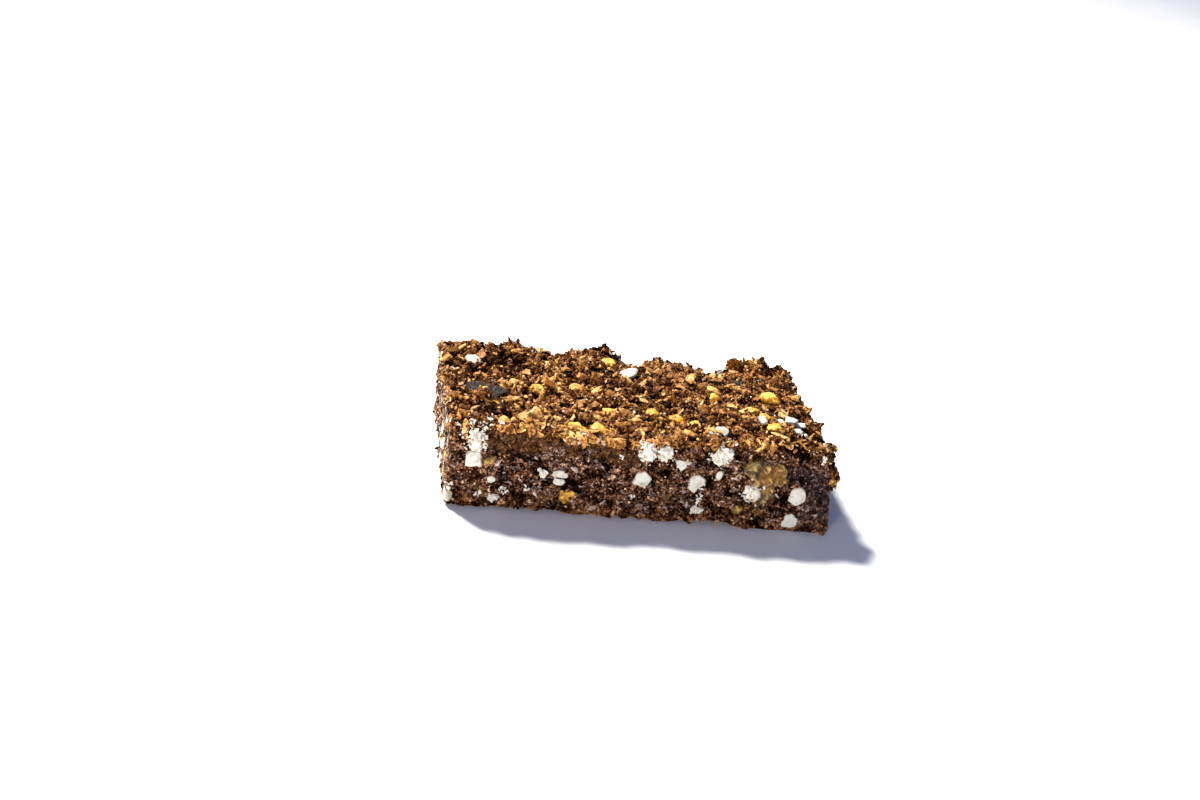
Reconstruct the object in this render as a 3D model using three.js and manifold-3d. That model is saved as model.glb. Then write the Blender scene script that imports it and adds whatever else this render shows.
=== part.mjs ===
// A slice of chocolate crispy cake: a pressed block of chocolate and date paste full of crumbs and
// coconut, with buckwheat grains all through it and three larger pieces of fruit showing at its faces.
// Millimetres. +X runs along the slice, -Y is the long cut side, +Z is up, and z = 0 is the plane
// that it lies on, under the middle of the slice.
import * as THREE from "three";
import { mergeVertices } from "three/addons/utils/BufferGeometryUtils.js";
import Module from "manifold-3d";

const wasm = await Module();
wasm.setup();

// Driving dimensions. The block isn't true: its top rises to the right and falls to the back, its
// right end leans in, and its left end overhangs its foot.
const LENGTH = 100;
const WIDTH = 56;
const HEIGHT = 22;
const TOP_CORNERS = { frontLeft: 20.9, frontRight: 23.5, backLeft: 20.3, backRight: 22.3 };
const END_LEAN = 3;
const FOOT_LEAN = 1.3;
const EDGE_RADIUS = 1.8;
const CELL = { level: 2.05, upright: 2.6 }; // the block's grid, along the floor and up its sides
const SUNK = 0.8; // how far the block's middle lies below z = 0 before the floor cuts it flat

// Crumb relief: rounded clods of three sizes, and a slow swell under them.
const CLODS = [
  { size: 5.6, height: 2.4, seed: 11 },
  { size: 3.4, height: 1.6, seed: 12 },
  { size: 2.3, height: 0.9, seed: 14 },
];
const SWELL = { size: 15, height: 0.6, seed: 13 };
const TOP_RELIEF = 1;
const SIDE_RELIEF = 0.36;
const SIDE_LEVEL = 0.5; // how far the side faces lie inside the overall size

// What shapes the top's outline: [x, y, reach along x, reach along y, rise], a fall where negative.
const TOP_SHAPE = [
  [-31, 25, 6, 6, 1.9],
  [-18, 25, 3.6, 6, -2.3],
  [-6, 26, 3.8, 6, 3.2],
  [5.5, 26, 4, 6, -3],
  [14, 25, 5, 6, -0.2],
  [25.5, 26, 4.8, 8, -4.9],
  [28, 18, 5, 5, -1],
  [31.5, 26, 2.4, 6, -2],
  [41, 24, 5.5, 7, 0.8],
  [-33, -25, 9, 5, 1.3],
  [-47, -27, 3, 4, -2.4],
  [-5, -26, 9, 5, -1.2],
  [32, -25, 9, 6, 1.2],
  [49, -28, 3, 3, -1.6],
];

// How far the bottom edges have crumbled up from the floor, and how far in that reaches.
const EDGE_LIFT = 1.7;
const LIFT_REACH = 5;
const SOUND_CORNER = { x: 27, blend: 3 }; // right of this x the front edge still meets the floor

// Grains that stand out on the cut side: [x, z, width, height].
const SIDE_GRAINS = [
  [-42.7, 18.4, 4.6, 5.6],
  [-43.3, 13.2, 4.4, 4.8],
  [-39.6, 13.4, 3.4, 3],
  [-38.7, 7.8, 2.2, 2],
  [-38.2, 2.8, 3, 2],
  [-26.1, 10.4, 2.4, 2.2],
  [-21.8, 9.6, 4, 4],
  [-19.4, 4.3, 4.4, 4.4],
  [-0.5, 11.5, 4.4, 4.7],
  [0.1, 19, 4.4, 5.4],
  [4.7, 19.1, 3.8, 4],
  [9.2, 16, 4.4, 3.6],
  [13.9, 11, 4.4, 5],
  [14.5, 3.8, 3, 2],
  [19.4, 13.9, 2, 3],
  [19.7, 20, 5.6, 4.8],
  [24.8, 4.9, 3, 2.6],
  [28.6, 10.2, 4.4, 5],
  [40.6, 10.1, 4.6, 5.6],
  [39.5, 3.3, 4.4, 4.4],
];

// Grains that stand out on the top: [x, y, length, width, turn in degrees].
const TOP_GRAINS = [
  [-41.3, 14.6, 4, 3.4, 20],
  [-31, 3.9, 3.8, 3, 60],
  [-25.8, -2.8, 4.9, 3.4, -61],
  [-35.6, -21, 3, 2.6, 0],
  [-17.9, -22, 4.6, 3.2, -18],
  [-12, -22.8, 4.7, 3.4, -20],
  [-8.2, -11.8, 4.2, 3.4, 100],
  [-14.9, 0.5, 4.4, 3.4, 30],
  [-3.9, 17.8, 5, 3.8, -56],
  [0.8, 12.6, 5.8, 4.4, 37],
  [-1.5, -17, 3, 2.4, 10],
  [3.9, -11.4, 4.2, 3.4, -17],
  [9.5, -15.1, 4.9, 3.3, -57],
  [14.5, -16.6, 3.4, 2.4, -54],
  [11.8, -22, 3.8, 2.8, 0],
  [20.5, -21, 4, 3.4, 50],
  [23.7, 5, 4.6, 3, -30],
  [22.9, -1, 3.2, 3, 0],
  [39.2, 1.4, 5.2, 4, -40],
  [36, -9.2, 4.6, 3, 9],
  [33, -6.4, 3.2, 2.8, 20],
  [36.5, -16.9, 4.6, 3.6, -29],
  [33.6, -13.2, 3, 2.2, -70],
  [42.9, -18.3, 4, 3.2, -61],
  [43.8, -11.9, 4.6, 3.4, -34],
];

// Crumbs that stick out of the right end: [y, z, width, height].
const END_CRUMBS = [
  [-25, 15.7, 5, 4.4],
  [-21, 20.4, 4, 3.4],
];

// The back and both ends get grains by this rule: one to a cell, jittered, some left out.
const GRAIN_RULE = { cell: 7.3, share: 0.55, least: 2.8, most: 4.9, jitter: 0.55, seed: 31 };
const GRAIN_PROUD = 0.2; // share of a grain's size that stands out of a cut face
const TOP_GRAIN_PROUD = 0.5; // the same on the rough top

// Fruit as large as a berry: centre, half sizes, and the face that cuts it.
const FRUIT = {
  fruit_piece_side: { at: [30.6, -25, 13.6], half: [6.3, 4.6, 7.1], face: "side", seed: 51 },
  date_piece_left: { at: [-38.2, -3, 19.4], half: [6.8, 4.4, 3.4], face: "top", seed: 53 },
  date_piece_right: { at: [30.4, 12, 19.8], half: [4, 3.8, 3.2], face: "top", seed: 54 },
};
const FRUIT_GAP = 0.3; // between a piece of fruit and its pocket
const FRUIT_LUMPS = { size: 4, height: 0.3 };

const PASTE = new THREE.MeshStandardMaterial({ color: 0x4a2c1a, roughness: 0.85, metalness: 0 });
const FRUIT_FLESH = new THREE.MeshStandardMaterial({ color: 0x9a7136, roughness: 0.5, metalness: 0 });
const DATE_SKIN = new THREE.MeshStandardMaterial({ color: 0x221b1a, roughness: 0.45, metalness: 0 });

const clamp = (value, low, high) => Math.min(Math.max(value, low), high);

const mix = (a, b, t) => a + (b - a) * t;

function smooth(t) {
  const c = clamp(t, 0, 1);
  return c * c * (3 - 2 * c);
}

// A repeatable number from 0 to 1 for whole numbers i, j, k.
function hash(i, j, k, seed) {
  let h = Math.imul(i, 374761393) ^ Math.imul(j, 668265263) ^ Math.imul(k, 1442695041);
  h = Math.imul(h ^ Math.imul(seed, 1274126177), 2246822519);
  h = Math.imul(h ^ (h >>> 13), 3266489917);
  return ((h ^ (h >>> 16)) >>> 0) / 4294967296;
}

// Smooth noise from -1 to 1 whose features are about size across.
function noise([x, y, z], size, seed) {
  const [i, j, k] = [x, y, z].map((c) => Math.floor(c / size));
  const [a, b, c] = [x / size - i, y / size - j, z / size - k].map(smooth);
  const plane = (dk) => {
    const near = mix(hash(i, j, k + dk, seed), hash(i + 1, j, k + dk, seed), a);
    const far = mix(hash(i, j + 1, k + dk, seed), hash(i + 1, j + 1, k + dk, seed), a);
    return mix(near, far, b);
  };
  return mix(plane(0), plane(1), c) * 2 - 1;
}

// Rounded clods from 0 to 1, one round a jittered point of each cell of the given size.
function clods(point, size, seed) {
  const cell = point.map((c) => Math.floor(c / size));
  let best = 0;
  for (let n = 0; n < 27; n += 1) {
    const at = cell.map((c, axis) => c + (Math.floor(n / 3 ** axis) % 3) - 1);
    const centre = at.map((c, axis) => (c + hash(...at, seed + 7 * axis)) * size);
    const far = Math.hypot(...point.map((c, axis) => c - centre[axis])) / size;
    const grown = 0.35 + 0.65 * hash(...at, seed + 29);
    best = Math.max(best, grown * (1 - far * far));
  }
  return best;
}

// How far the crumbs stand out of the surface at a point.
function relief(point) {
  const lumps = CLODS.map(({ size, height, seed }) => height * (clods(point, size, seed) - 0.5));
  return lumps.reduce((a, b) => a + b) + SWELL.height * noise(point, SWELL.size, SWELL.seed);
}

// Height of the top before its crumbs.
function topHeight(x, y) {
  const u = x / LENGTH + 0.5;
  const v = y / WIDTH + 0.5;
  const front = mix(TOP_CORNERS.frontLeft, TOP_CORNERS.frontRight, u);
  const back = mix(TOP_CORNERS.backLeft, TOP_CORNERS.backRight, u);
  const bumps = TOP_SHAPE.map(
    ([bx, by, rx, ry, rise]) => rise * Math.exp(-(((x - bx) / rx) ** 2) - ((y - by) / ry) ** 2),
  );
  return mix(front, back, v) + bumps.reduce((a, b) => a + b);
}

// How far the bottom has crumbled up at x, y: most at the front edge, and nothing a little way in.
function bottomLift(x, y) {
  const ragged = 0.75 + 0.5 * noise([x, y, 0], 5, 41);
  const sound = smooth((SOUND_CORNER.x - x) / SOUND_CORNER.blend);
  const front = smooth(1 - (y + WIDTH / 2) / LIFT_REACH) * sound;
  const edge = Math.min(LENGTH / 2 - Math.abs(x), WIDTH / 2 - Math.abs(y));
  const rim = 0.4 * smooth(1 - edge / (0.6 * LIFT_REACH));
  return EDGE_LIFT * ragged * Math.max(front, rim);
}

// Takes a point of the sharp box to the slice's own surface, and gives the way out there.
function surface(x, y, z) {
  const half = [LENGTH / 2, WIDTH / 2, HEIGHT / 2];
  const sharp = [x, y, z - half[2]];
  const core = sharp.map((c, axis) => clamp(c, EDGE_RADIUS - half[axis], half[axis] - EDGE_RADIUS));
  const reach = Math.hypot(...sharp.map((c, axis) => c - core[axis]));
  const out = sharp.map((c, axis) => (c - core[axis]) / reach);
  const round = core.map((c, axis) => c + out[axis] * EDGE_RADIUS);
  round[2] += half[2];

  const up = Math.max(out[2], 0) ** 2;
  const beside = 1 - out[2] ** 2;
  const crumbs = relief(round);
  const push = crumbs * (up * TOP_RELIEF + beside * SIDE_RELIEF) - beside * SIDE_LEVEL;
  const height = round[2] / HEIGHT;
  const lean = END_LEAN * height ** 1.3 * smooth(round[0] / LENGTH + 0.5) ** 2;
  const foot = FOOT_LEAN * (1 - height) * smooth(0.5 - round[0] / LENGTH) ** 2;
  const lift = bottomLift(round[0], round[1]) * (1 - height);
  const at = [
    clamp(round[0] + out[0] * push - lean + foot, -LENGTH / 2, LENGTH / 2),
    clamp(round[1] + out[1] * push, -WIDTH / 2, WIDTH / 2),
    topHeight(round[0], round[1]) * height + Math.max(out[2], 0) * push + lift - SUNK * (1 - height),
  ];
  return { at, out };
}

// A solid of a closed geometry whose shared corners may still be apart.
function solidOf(geometry) {
  const bare = geometry.clone();
  bare.deleteAttribute("normal");
  bare.deleteAttribute("uv");
  const merged = mergeVertices(bare, 1e-4);
  const vertProperties = merged.attributes.position.array;
  const triVerts = new Uint32Array(merged.index.array);
  return new wasm.Manifold(new wasm.Mesh({ numProp: 3, vertProperties, triVerts }));
}

function geometryOf(solid) {
  const { vertProperties, triVerts } = solid.getMesh();
  const geometry = new THREE.BufferGeometry();
  geometry.setAttribute("position", new THREE.BufferAttribute(vertProperties, 3));
  geometry.setIndex(new THREE.BufferAttribute(triVerts, 1));
  geometry.computeVertexNormals();
  return geometry;
}

// The block with its rounded edges, leaning end, uneven top and crumbs.
function block() {
  const cells = [LENGTH / CELL.level, WIDTH / CELL.level, HEIGHT / CELL.upright].map(Math.round);
  const geometry = new THREE.BoxGeometry(LENGTH, WIDTH, HEIGHT, ...cells);
  geometry.translate(0, 0, HEIGHT / 2);
  const position = geometry.attributes.position;
  for (let i = 0; i < position.count; i += 1) {
    position.setXYZ(i, ...surface(position.getX(i), position.getY(i), position.getZ(i)).at);
  }
  return solidOf(geometry);
}

// All that lies under the floor.
function underneath() {
  const geometry = new THREE.BoxGeometry(2 * LENGTH, 2 * WIDTH, HEIGHT);
  return solidOf(geometry.translate(0, 0, -HEIGHT / 2));
}

// A buckwheat grain one unit across: five-sided, with a point at each end.
function grainShape() {
  const rings = [
    [0.36, 0.36],
    [0.5, 0.1],
    [0.36, -0.3],
  ];
  const sides = 5;
  const points = [0, 0, 0.5];
  rings.forEach(([radius, z]) => {
    for (let side = 0; side < sides; side += 1) {
      const angle = (2 * Math.PI * side) / sides;
      const r = radius * (side % 2 ? 0.88 : 1);
      points.push(r * Math.cos(angle), r * Math.sin(angle), z);
    }
  });
  points.push(0, 0, -0.5);
  const last = points.length / 3 - 1;
  const faces = [];
  for (let side = 0; side < sides; side += 1) {
    const next = (side + 1) % sides;
    faces.push(0, 1 + side, 1 + next);
    for (let ring = 0; ring < rings.length - 1; ring += 1) {
      const a = 1 + ring * sides;
      const b = a + sides;
      faces.push(a + side, b + side, b + next, a + side, b + next, a + next);
    }
    faces.push(last, last - sides + next, last - sides + side);
  }
  const geometry = new THREE.BufferGeometry();
  geometry.setAttribute("position", new THREE.Float32BufferAttribute(points, 3));
  geometry.setIndex(faces);
  return geometry;
}

const GRAIN = grainShape();

// A grain whose middle is sunk in the surface, so that only the share called proud stands out of it.
// across and along are its sizes on the face, thick its size through it, and turn its angle there.
function grain({ at, out, across, along, thick, turn, proud }) {
  const sunk = thick * (0.5 - proud);
  const facing = new THREE.Quaternion().setFromUnitVectors(
    new THREE.Vector3(0, 0, 1),
    new THREE.Vector3(...out).normalize(),
  );
  const spin = new THREE.Quaternion().setFromAxisAngle(new THREE.Vector3(0, 0, 1), turn);
  const place = new THREE.Matrix4().compose(
    new THREE.Vector3(...at.map((c, axis) => c - out[axis] * sunk)),
    facing.multiply(spin),
    new THREE.Vector3(across, along, thick),
  );
  return solidOf(GRAIN.clone().applyMatrix4(place));
}

function sideGrains() {
  return SIDE_GRAINS.map(([x, z, width, height], n) => {
    const box = (z / topHeight(x, -WIDTH / 2)) * HEIGHT;
    const { at } = surface(x, -WIDTH / 2, clamp(box, EDGE_RADIUS, HEIGHT - EDGE_RADIUS));
    const turn = hash(n, 0, 0, GRAIN_RULE.seed) - 0.5;
    const thick = 0.7 * width;
    return grain({ at, out: [0, -1, 0], across: width, along: height, thick, turn, proud: GRAIN_PROUD });
  });
}

function topGrains() {
  return TOP_GRAINS.map(([x, y, length, width, degrees]) => {
    const { at } = surface(x, y, HEIGHT);
    const turn = THREE.MathUtils.degToRad(degrees);
    const thick = 0.8 * width;
    return grain({ at, out: [0, 0, 1], across: length, along: width, thick, turn, proud: TOP_GRAIN_PROUD });
  });
}

function endCrumbs() {
  return END_CRUMBS.map(([y, z, width, height]) => {
    const { at } = surface(LENGTH / 2, y, z);
    return grain({ at, out: [1, 0, 0], across: height, along: width, thick: width, turn: 0, proud: 0.5 });
  });
}

// Grains of the back or of one end. place(u, v) gives the point of the sharp box for distances along it.
function ruledGrains(number, wide, place) {
  const { cell, share, least, most, jitter, seed } = GRAIN_RULE;
  const columns = Math.floor(wide / cell);
  const rows = Math.floor(HEIGHT / cell);
  const grains = [];
  for (let i = 0; i < columns; i += 1) {
    for (let j = 0; j < rows; j += 1) {
      const draw = (k) => hash(i, j, number, seed + k);
      if (draw(0) > share) continue;
      const u = ((i + 0.5 + jitter * (draw(1) - 0.5)) * wide) / columns - wide / 2;
      const v = ((j + 0.5 + jitter * (draw(2) - 0.5)) * HEIGHT) / rows;
      const across = mix(least, most, draw(3));
      const { at, out } = surface(...place(u, v));
      const thick = 0.7 * across;
      const turn = Math.PI * draw(4);
      const along = across * mix(0.8, 1.2, draw(5));
      grains.push(grain({ at, out, across, along, thick, turn, proud: GRAIN_PROUD }));
    }
  }
  return grains;
}

function backAndEndGrains() {
  return [
    ...ruledGrains(0, LENGTH, (u, v) => [u, WIDTH / 2, v]),
    ...ruledGrains(1, WIDTH, (u, v) => [-LENGTH / 2, u, v]),
    ...ruledGrains(2, WIDTH, (u, v) => [LENGTH / 2, u, v]),
  ];
}

// A lumpy piece of fruit, grown all round by extra, before a face of the slice cuts it.
function fruit({ at, half, seed }, extra) {
  const geometry = new THREE.IcosahedronGeometry(1, 2);
  const position = geometry.attributes.position;
  for (let i = 0; i < position.count; i += 1) {
    const way = [position.getX(i), position.getY(i), position.getZ(i)];
    const lump = noise(way.map((c, axis) => c * half[axis]), FRUIT_LUMPS.size, seed);
    const grown = way.map((c, axis) => c * (half[axis] * (1 + FRUIT_LUMPS.height * lump) + extra));
    position.setXYZ(i, ...grown.map((c, axis) => c + at[axis]));
  }
  return solidOf(geometry);
}

// The space that a piece of fruit may fill: out to the cut side, or up to the top.
function roomFor({ at, face }) {
  const [x, y, z] = at;
  const big = 4 * WIDTH;
  const room = new THREE.BoxGeometry(big, big, big);
  if (face === "side") room.translate(x, big / 2 - WIDTH / 2 + SIDE_LEVEL / 2, z);
  else room.translate(x, y, surface(x, y, HEIGHT).at[2] - big / 2);
  return solidOf(room);
}

const whole = (solid) => solid.decompose().reduce((a, b) => (a.volume() > b.volume() ? a : b));

function slice() {
  const grains = [...sideGrains(), ...topGrains(), ...endCrumbs(), ...backAndEndGrains()];
  const joined = grains.reduce((solid, one) => solid.add(one), block());
  const cuts = [underneath(), ...Object.values(FRUIT).map((piece) => fruit(piece, FRUIT_GAP))];
  return whole(cuts.reduce((solid, cut) => solid.subtract(cut), joined));
}

function named(name, solid, material) {
  const mesh = new THREE.Mesh(geometryOf(solid), material);
  mesh.name = name;
  return mesh;
}

const cake = new THREE.Group();
cake.add(named("cake_slice", slice(), PASTE));
Object.entries(FRUIT).forEach(([name, piece]) => {
  const material = name.startsWith("fruit") ? FRUIT_FLESH : DATE_SKIN;
  cake.add(named(name, whole(fruit(piece, 0).intersect(roomFor(piece))), material));
});

export default cake;
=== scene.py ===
"""The looks of a slice of chocolate crispy cake: crumbs, coconut, buckwheat grains and fruit.

The slice's own surface is worked out here as the part works it out, from the same sizes and the
same repeatable noise, on a finer grid, and everything that lies on it is placed by it. Lengths are
in millimetres until mesh_piece() turns them into metres.
"""
import math

import bmesh
import bpy
import numpy as np
from mathutils import Matrix, Quaternion, Vector


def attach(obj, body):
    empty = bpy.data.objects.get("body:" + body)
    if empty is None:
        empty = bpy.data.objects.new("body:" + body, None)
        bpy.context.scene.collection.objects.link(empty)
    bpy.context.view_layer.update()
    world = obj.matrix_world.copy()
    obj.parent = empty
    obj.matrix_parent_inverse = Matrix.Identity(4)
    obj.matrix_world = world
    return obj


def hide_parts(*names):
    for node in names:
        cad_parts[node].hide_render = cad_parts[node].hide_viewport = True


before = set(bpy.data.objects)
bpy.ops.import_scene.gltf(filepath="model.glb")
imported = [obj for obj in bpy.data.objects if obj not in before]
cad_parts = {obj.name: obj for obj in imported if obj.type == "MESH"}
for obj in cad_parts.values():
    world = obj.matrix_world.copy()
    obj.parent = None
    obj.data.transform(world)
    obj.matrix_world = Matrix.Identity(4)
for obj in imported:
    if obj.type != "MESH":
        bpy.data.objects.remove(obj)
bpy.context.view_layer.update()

# The slice, as in the part
LENGTH, WIDTH, HEIGHT = 100, 56, 22
FRONT_CORNERS, BACK_CORNERS = (20.9, 23.5), (20.3, 22.3)  # height of the top, left and right
END_LEAN = 3
FOOT_LEAN = 1.3
EDGE_RADIUS = 1.8
SUNK = 0.8
CLODS = [(5.6, 2.4, 11), (3.4, 1.6, 12), (2.3, 0.9, 14)]  # size, height, seed
SWELL = (15, 0.6, 13)
TOP_RELIEF, SIDE_RELIEF, SIDE_LEVEL = 1, 0.36, 0.5
TOP_SHAPE = [
    (-31, 25, 6, 6, 1.9),
    (-18, 25, 3.6, 6, -2.3),
    (-6, 26, 3.8, 6, 3.2),
    (5.5, 26, 4, 6, -3),
    (14, 25, 5, 6, -0.2),
    (25.5, 26, 4.8, 8, -4.9),
    (28, 18, 5, 5, -1),
    (31.5, 26, 2.4, 6, -2),
    (41, 24, 5.5, 7, 0.8),
    (-33, -25, 9, 5, 1.3),
    (-47, -27, 3, 4, -2.4),
    (-5, -26, 9, 5, -1.2),
    (32, -25, 9, 6, 1.2),
    (49, -28, 3, 3, -1.6),
]
EDGE_LIFT, LIFT_REACH = 1.7, 5
SOUND_CORNER_X, SOUND_CORNER_BLEND = 27, 3

# What the part's coarser solid leaves out: finer crumbs on the same surface, and its fine grid
FINE_CLODS = [(1.5, 0.7, 15), (0.9, 0.4, 16)]
FINE_SIDE_RELIEF = 0.8
CELL = 0.5
CAVITY_DEPTH = 1.3
EDGE_NOTCHES = 1.1

# Grains on the cut side: x, z, width, height, kind
SIDE_GRAINS = [
    (-42.7, 18.4, 4.6, 5.6, "fluff"),
    (-43.3, 13.2, 4.4, 4.8, "block"),
    (-39.6, 13.4, 3.4, 3, "olive"),
    (-38.7, 7.8, 2.2, 2, "oval"),
    (-38.2, 2.8, 3, 2, "fluff"),
    (-26.1, 10.4, 2.4, 2.2, "fluff"),
    (-21.8, 9.6, 4, 4, "split"),
    (-19.4, 4.3, 4.4, 4.4, "amber"),
    (-0.5, 11.5, 4.4, 4.7, "heart"),
    (0.1, 19, 4.4, 5.4, "fluff"),
    (4.7, 19.1, 3.8, 4, "fluff"),
    (9.2, 16, 4.4, 3.6, "wedge"),
    (13.9, 11, 4.4, 5, "bitten"),
    (14.5, 3.8, 3, 2, "fluff"),
    (19.4, 13.9, 2, 3, "wedge"),
    (19.7, 20, 5.6, 4.8, "fluff"),
    (24.8, 4.9, 3, 2.6, "olive"),
    (28.6, 10.2, 4.4, 5, "fluff"),
    (40.6, 10.1, 4.6, 5.6, "oval"),
    (39.5, 3.3, 4.4, 4.4, "heart"),
]

# Outlines of grains that the knife went through: soft polygons, by each edge's way and distance
OUTLINES = {
    "oval": [(60 * n, 1) for n in range(6)],
    "bitten": [(60 * n, 1.05) for n in range(6)],
    "heart": [(172, 0.9), (110, 1), (42, 0.9), (-25, 1), (268, 0.95)],
    "wedge": [(85, 0.86), (-36, 0.8), (222, 0.84)],
    "block": [(180, 0.9), (95, 0.92), (15, 0.9), (275, 1)],
    "ragged": [(96, 0.72), (12, 1), (-42, 0.78), (-86, 1.05), (205, 0.92), (150, 0.86)],
    "split": [(8, 1), (52, 0.9), (98, 0.8), (140, 0.95), (182, 1.05), (262, 0.3)],
    "stub": [(84, 0.55), (12, 1.05), (165, 0.85), (235, 0.95), (285, 0.9)],
}

# What a split grain is made of: outline, shift, scale
SPLIT_PARTS = [("split", 0.17, (1.12, 0.88, 1)), ("stub", -0.26, (0.74, 0.7, 0.9))]
BITE = (-70, 0.6, 0.4)  # what is gone from a bitten one: way in degrees, depth, spread

# Grains on the top: x, y, length, width, kind, turn in degrees
TOP_GRAINS = [
    (-41.3, 14.6, 4, 3.4, "white", 20),
    (-31, 3.9, 3.8, 3, "tan", 60),
    (-25.8, -2.8, 4.9, 3.4, "gold", -61),
    (-35.6, -21, 3, 2.6, "tan", 0),
    (-17.9, -22, 4.6, 3.2, "gold", -18),
    (-12, -22.8, 4.7, 3.4, "gold", -20),
    (-8.2, -11.8, 4.2, 3.4, "amber", 100),
    (-14.9, 0.5, 4.4, 3.4, "tan", 30),
    (-3.9, 17.8, 5, 3.8, "gold", -56),
    (0.8, 12.6, 5.8, 4.4, "white", 37),
    (-1.5, -17, 3, 2.4, "tan", 10),
    (3.9, -11.4, 4.2, 3.4, "gold", -17),
    (9.5, -15.1, 4.9, 3.3, "gold", -57),
    (14.5, -16.6, 3.4, 2.4, "gold", -54),
    (11.8, -22, 3.8, 2.8, "tan", 0),
    (20.5, -21, 4, 3.4, "white", 50),
    (23.7, 5, 4.6, 3, "tan", -30),
    (22.9, -1, 3.2, 3, "gold", 0),
    (39.2, 1.4, 5.2, 4, "gold", -40),
    (36, -9.2, 4.6, 3, "amber", 9),
    (33, -6.4, 3.2, 2.8, "gold", 20),
    (36.5, -16.9, 4.6, 3.6, "amber", -29),
    (33.6, -13.2, 3, 2.2, "white", -70),
    (42.9, -18.3, 4, 3.2, "pair", -61),
    (43.8, -11.9, 4.6, 3.4, "pair", -34),
]
END_CRUMBS = [(-25, 15.7, 5, 4.4), (-21, 20.4, 4, 3.4)]  # y, z, width, height

# Grains by rule on the other sides: a cell holds one or none, jittered in it
RULED_CELL, RULED_SHARE, RULED_SIZES, RULED_JITTER, RULED_SEED = 7.3, 0.55, (2.8, 4.9), 0.55, 31
RULED_KINDS = ["oval", "heart", "gold", "block", "olive", "fluff", "wedge"]
SIDE_PROUD, TOP_PROUD = 0.2, 0.5
LARGE_WHITE = 5  # a white grain longer than this is a thin oval slice, tipped to the left

# Fruit: centre, half sizes, the face that cuts it, seed
FRUIT = {
    "fruit_piece_side": ((30.6, -25, 13.6), (6.3, 4.6, 7.1), "side", 51),
    "date_piece_left": ((-38.2, -3, 19.4), (6.8, 4.4, 3.4), "top", 53),
    "date_piece_right": ((30.4, 12, 19.8), (4, 3.8, 3.2), "top", 54),
}
FRUIT_LUMPS, FRUIT_LUMP_HEIGHT = 4, 0.3
FRUIT_HOLLOW = 1.3  # how far the crumb draws back where fruit shows

# Where each isn't crusted over: ovals that run together, as the middle and the reach both ways
BARED = {
    "fruit_piece_side": [
        (26.9, 17.6, 2.7, 3), (31.9, 15.4, 4, 3), (30.2, 11.6, 3.4, 3.6), (30, 7.6, 2.4, 2),
    ],
    "date_piece_left": [(-41, -2.4, 3.2, 1.4), (-38.6, -3.6, 3.6, 1.6), (-35.4, -4.6, 3.4, 1.4)],
    "date_piece_right": [(30.3, 12.4, 2.6, 1.8)],
}
CREASE = ((29.6, 20.5), (28, 13.5), 0.75)  # a fold in the side fruit: its ends, and its half width

# Smooth dark paste showing in the cut side: x, z, half width, half height
PASTE = [(-31.3, 18.9, 8.3, 2.9), (-15.2, 18.2, 6.5, 2), (-6.1, 16.6, 4, 1.6)]
DATE_PASTE = [(45.6, 10, 4, 7.5), (39, 16, 4, 1.8)]  # the same, darker and plum-coloured

# The larger dark holes in the cut side: x, z, half width, half height
HOLES = [
    (-24.8, 7, 1.3, 1.2), (-20.4, 12.6, 2.8, 0.8), (-16.4, 6.4, 2.2, 1), (-13.6, 12.2, 1.8, 1.2),
    (22.8, 7.4, 1.4, 1.2), (17, 12, 1, 1.6), (15, 8.4, 1.3, 1), (-8, 5, 1.6, 0.8),
    (35.6, 14.6, 1.2, 1.6), (3.6, 3.4, 1.8, 0.8), (-31, 4, 1.8, 0.8), (5.2, 13.4, 1.4, 1),
]

# Where the top is darker, of paste and date skin between the crumbs: x, y, reach both ways
TOP_DARK = [
    (-43, 8.5, 4, 1.8), (-28.5, 12.5, 4.2, 1.5), (-38, 19, 3, 1.6), (-33, -6, 7, 2),
    (9.5, 5.5, 5, 1.6), (-9, 12.5, 4, 1.4), (22, 11, 5, 1.8), (-20, -10, 4, 1.3), (12, -9, 4, 1.2),
    (-40, -14, 5, 1.5), (31, -22, 3.4, 1.2), (3, 0, 3, 1.2),
]

IN_FRONT = 1.5 - WIDTH / 2  # what has a smaller y is on the cut side in front
EDGE_BAND = 3.2  # height of the warmer, looser crumb along the upper and lower edges of the sides

# White crumbs strewn on the top: x, y, reach along x, reach along y, count
WHITE_CRUMBS = [
    (-42, -24.6, 5.6, 3, 90), (20, -25, 3.5, 2, 26), (41, -9, 3, 3, 8), (-16, -27, 4, 0.8, 12),
]
WHITE_CHIPS = [  # x, y, size
    (-38.9, 21.2, 1.9), (-46.7, 10.3, 1.6), (-12.9, -4.2, 1.5), (-1.6, -12.6, 1.3),
    (-20.5, -16, 1.1), (38.9, -11.8, 2.3), (40.9, -6.8, 2.2), (5.4, 20, 1.2),
]

# Long flakes on the top: x, y, length, width, turn in degrees
LONG_FLAKES = [
    (-16.3, -25.2, 7.6, 1.7, -2), (-8, -26.6, 5.4, 1.3, -14), (-3, -27, 5, 1.4, -18),
    (-23, -25.5, 4.6, 1.3, 12), (-31.3, -20.6, 4, 2.2, 25), (-27.5, -24.6, 4.4, 1.1, -5),
    (17.3, -22.6, 4.6, 1.8, -25), (-22, 4, 5, 1.5, 40), (-34, -12, 4.6, 1.4, 5),
    (2.5, -5, 4.4, 1.4, -40), (-9, 8, 4.8, 1.6, 20), (14, 3, 4.6, 1.6, -30),
]

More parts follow.
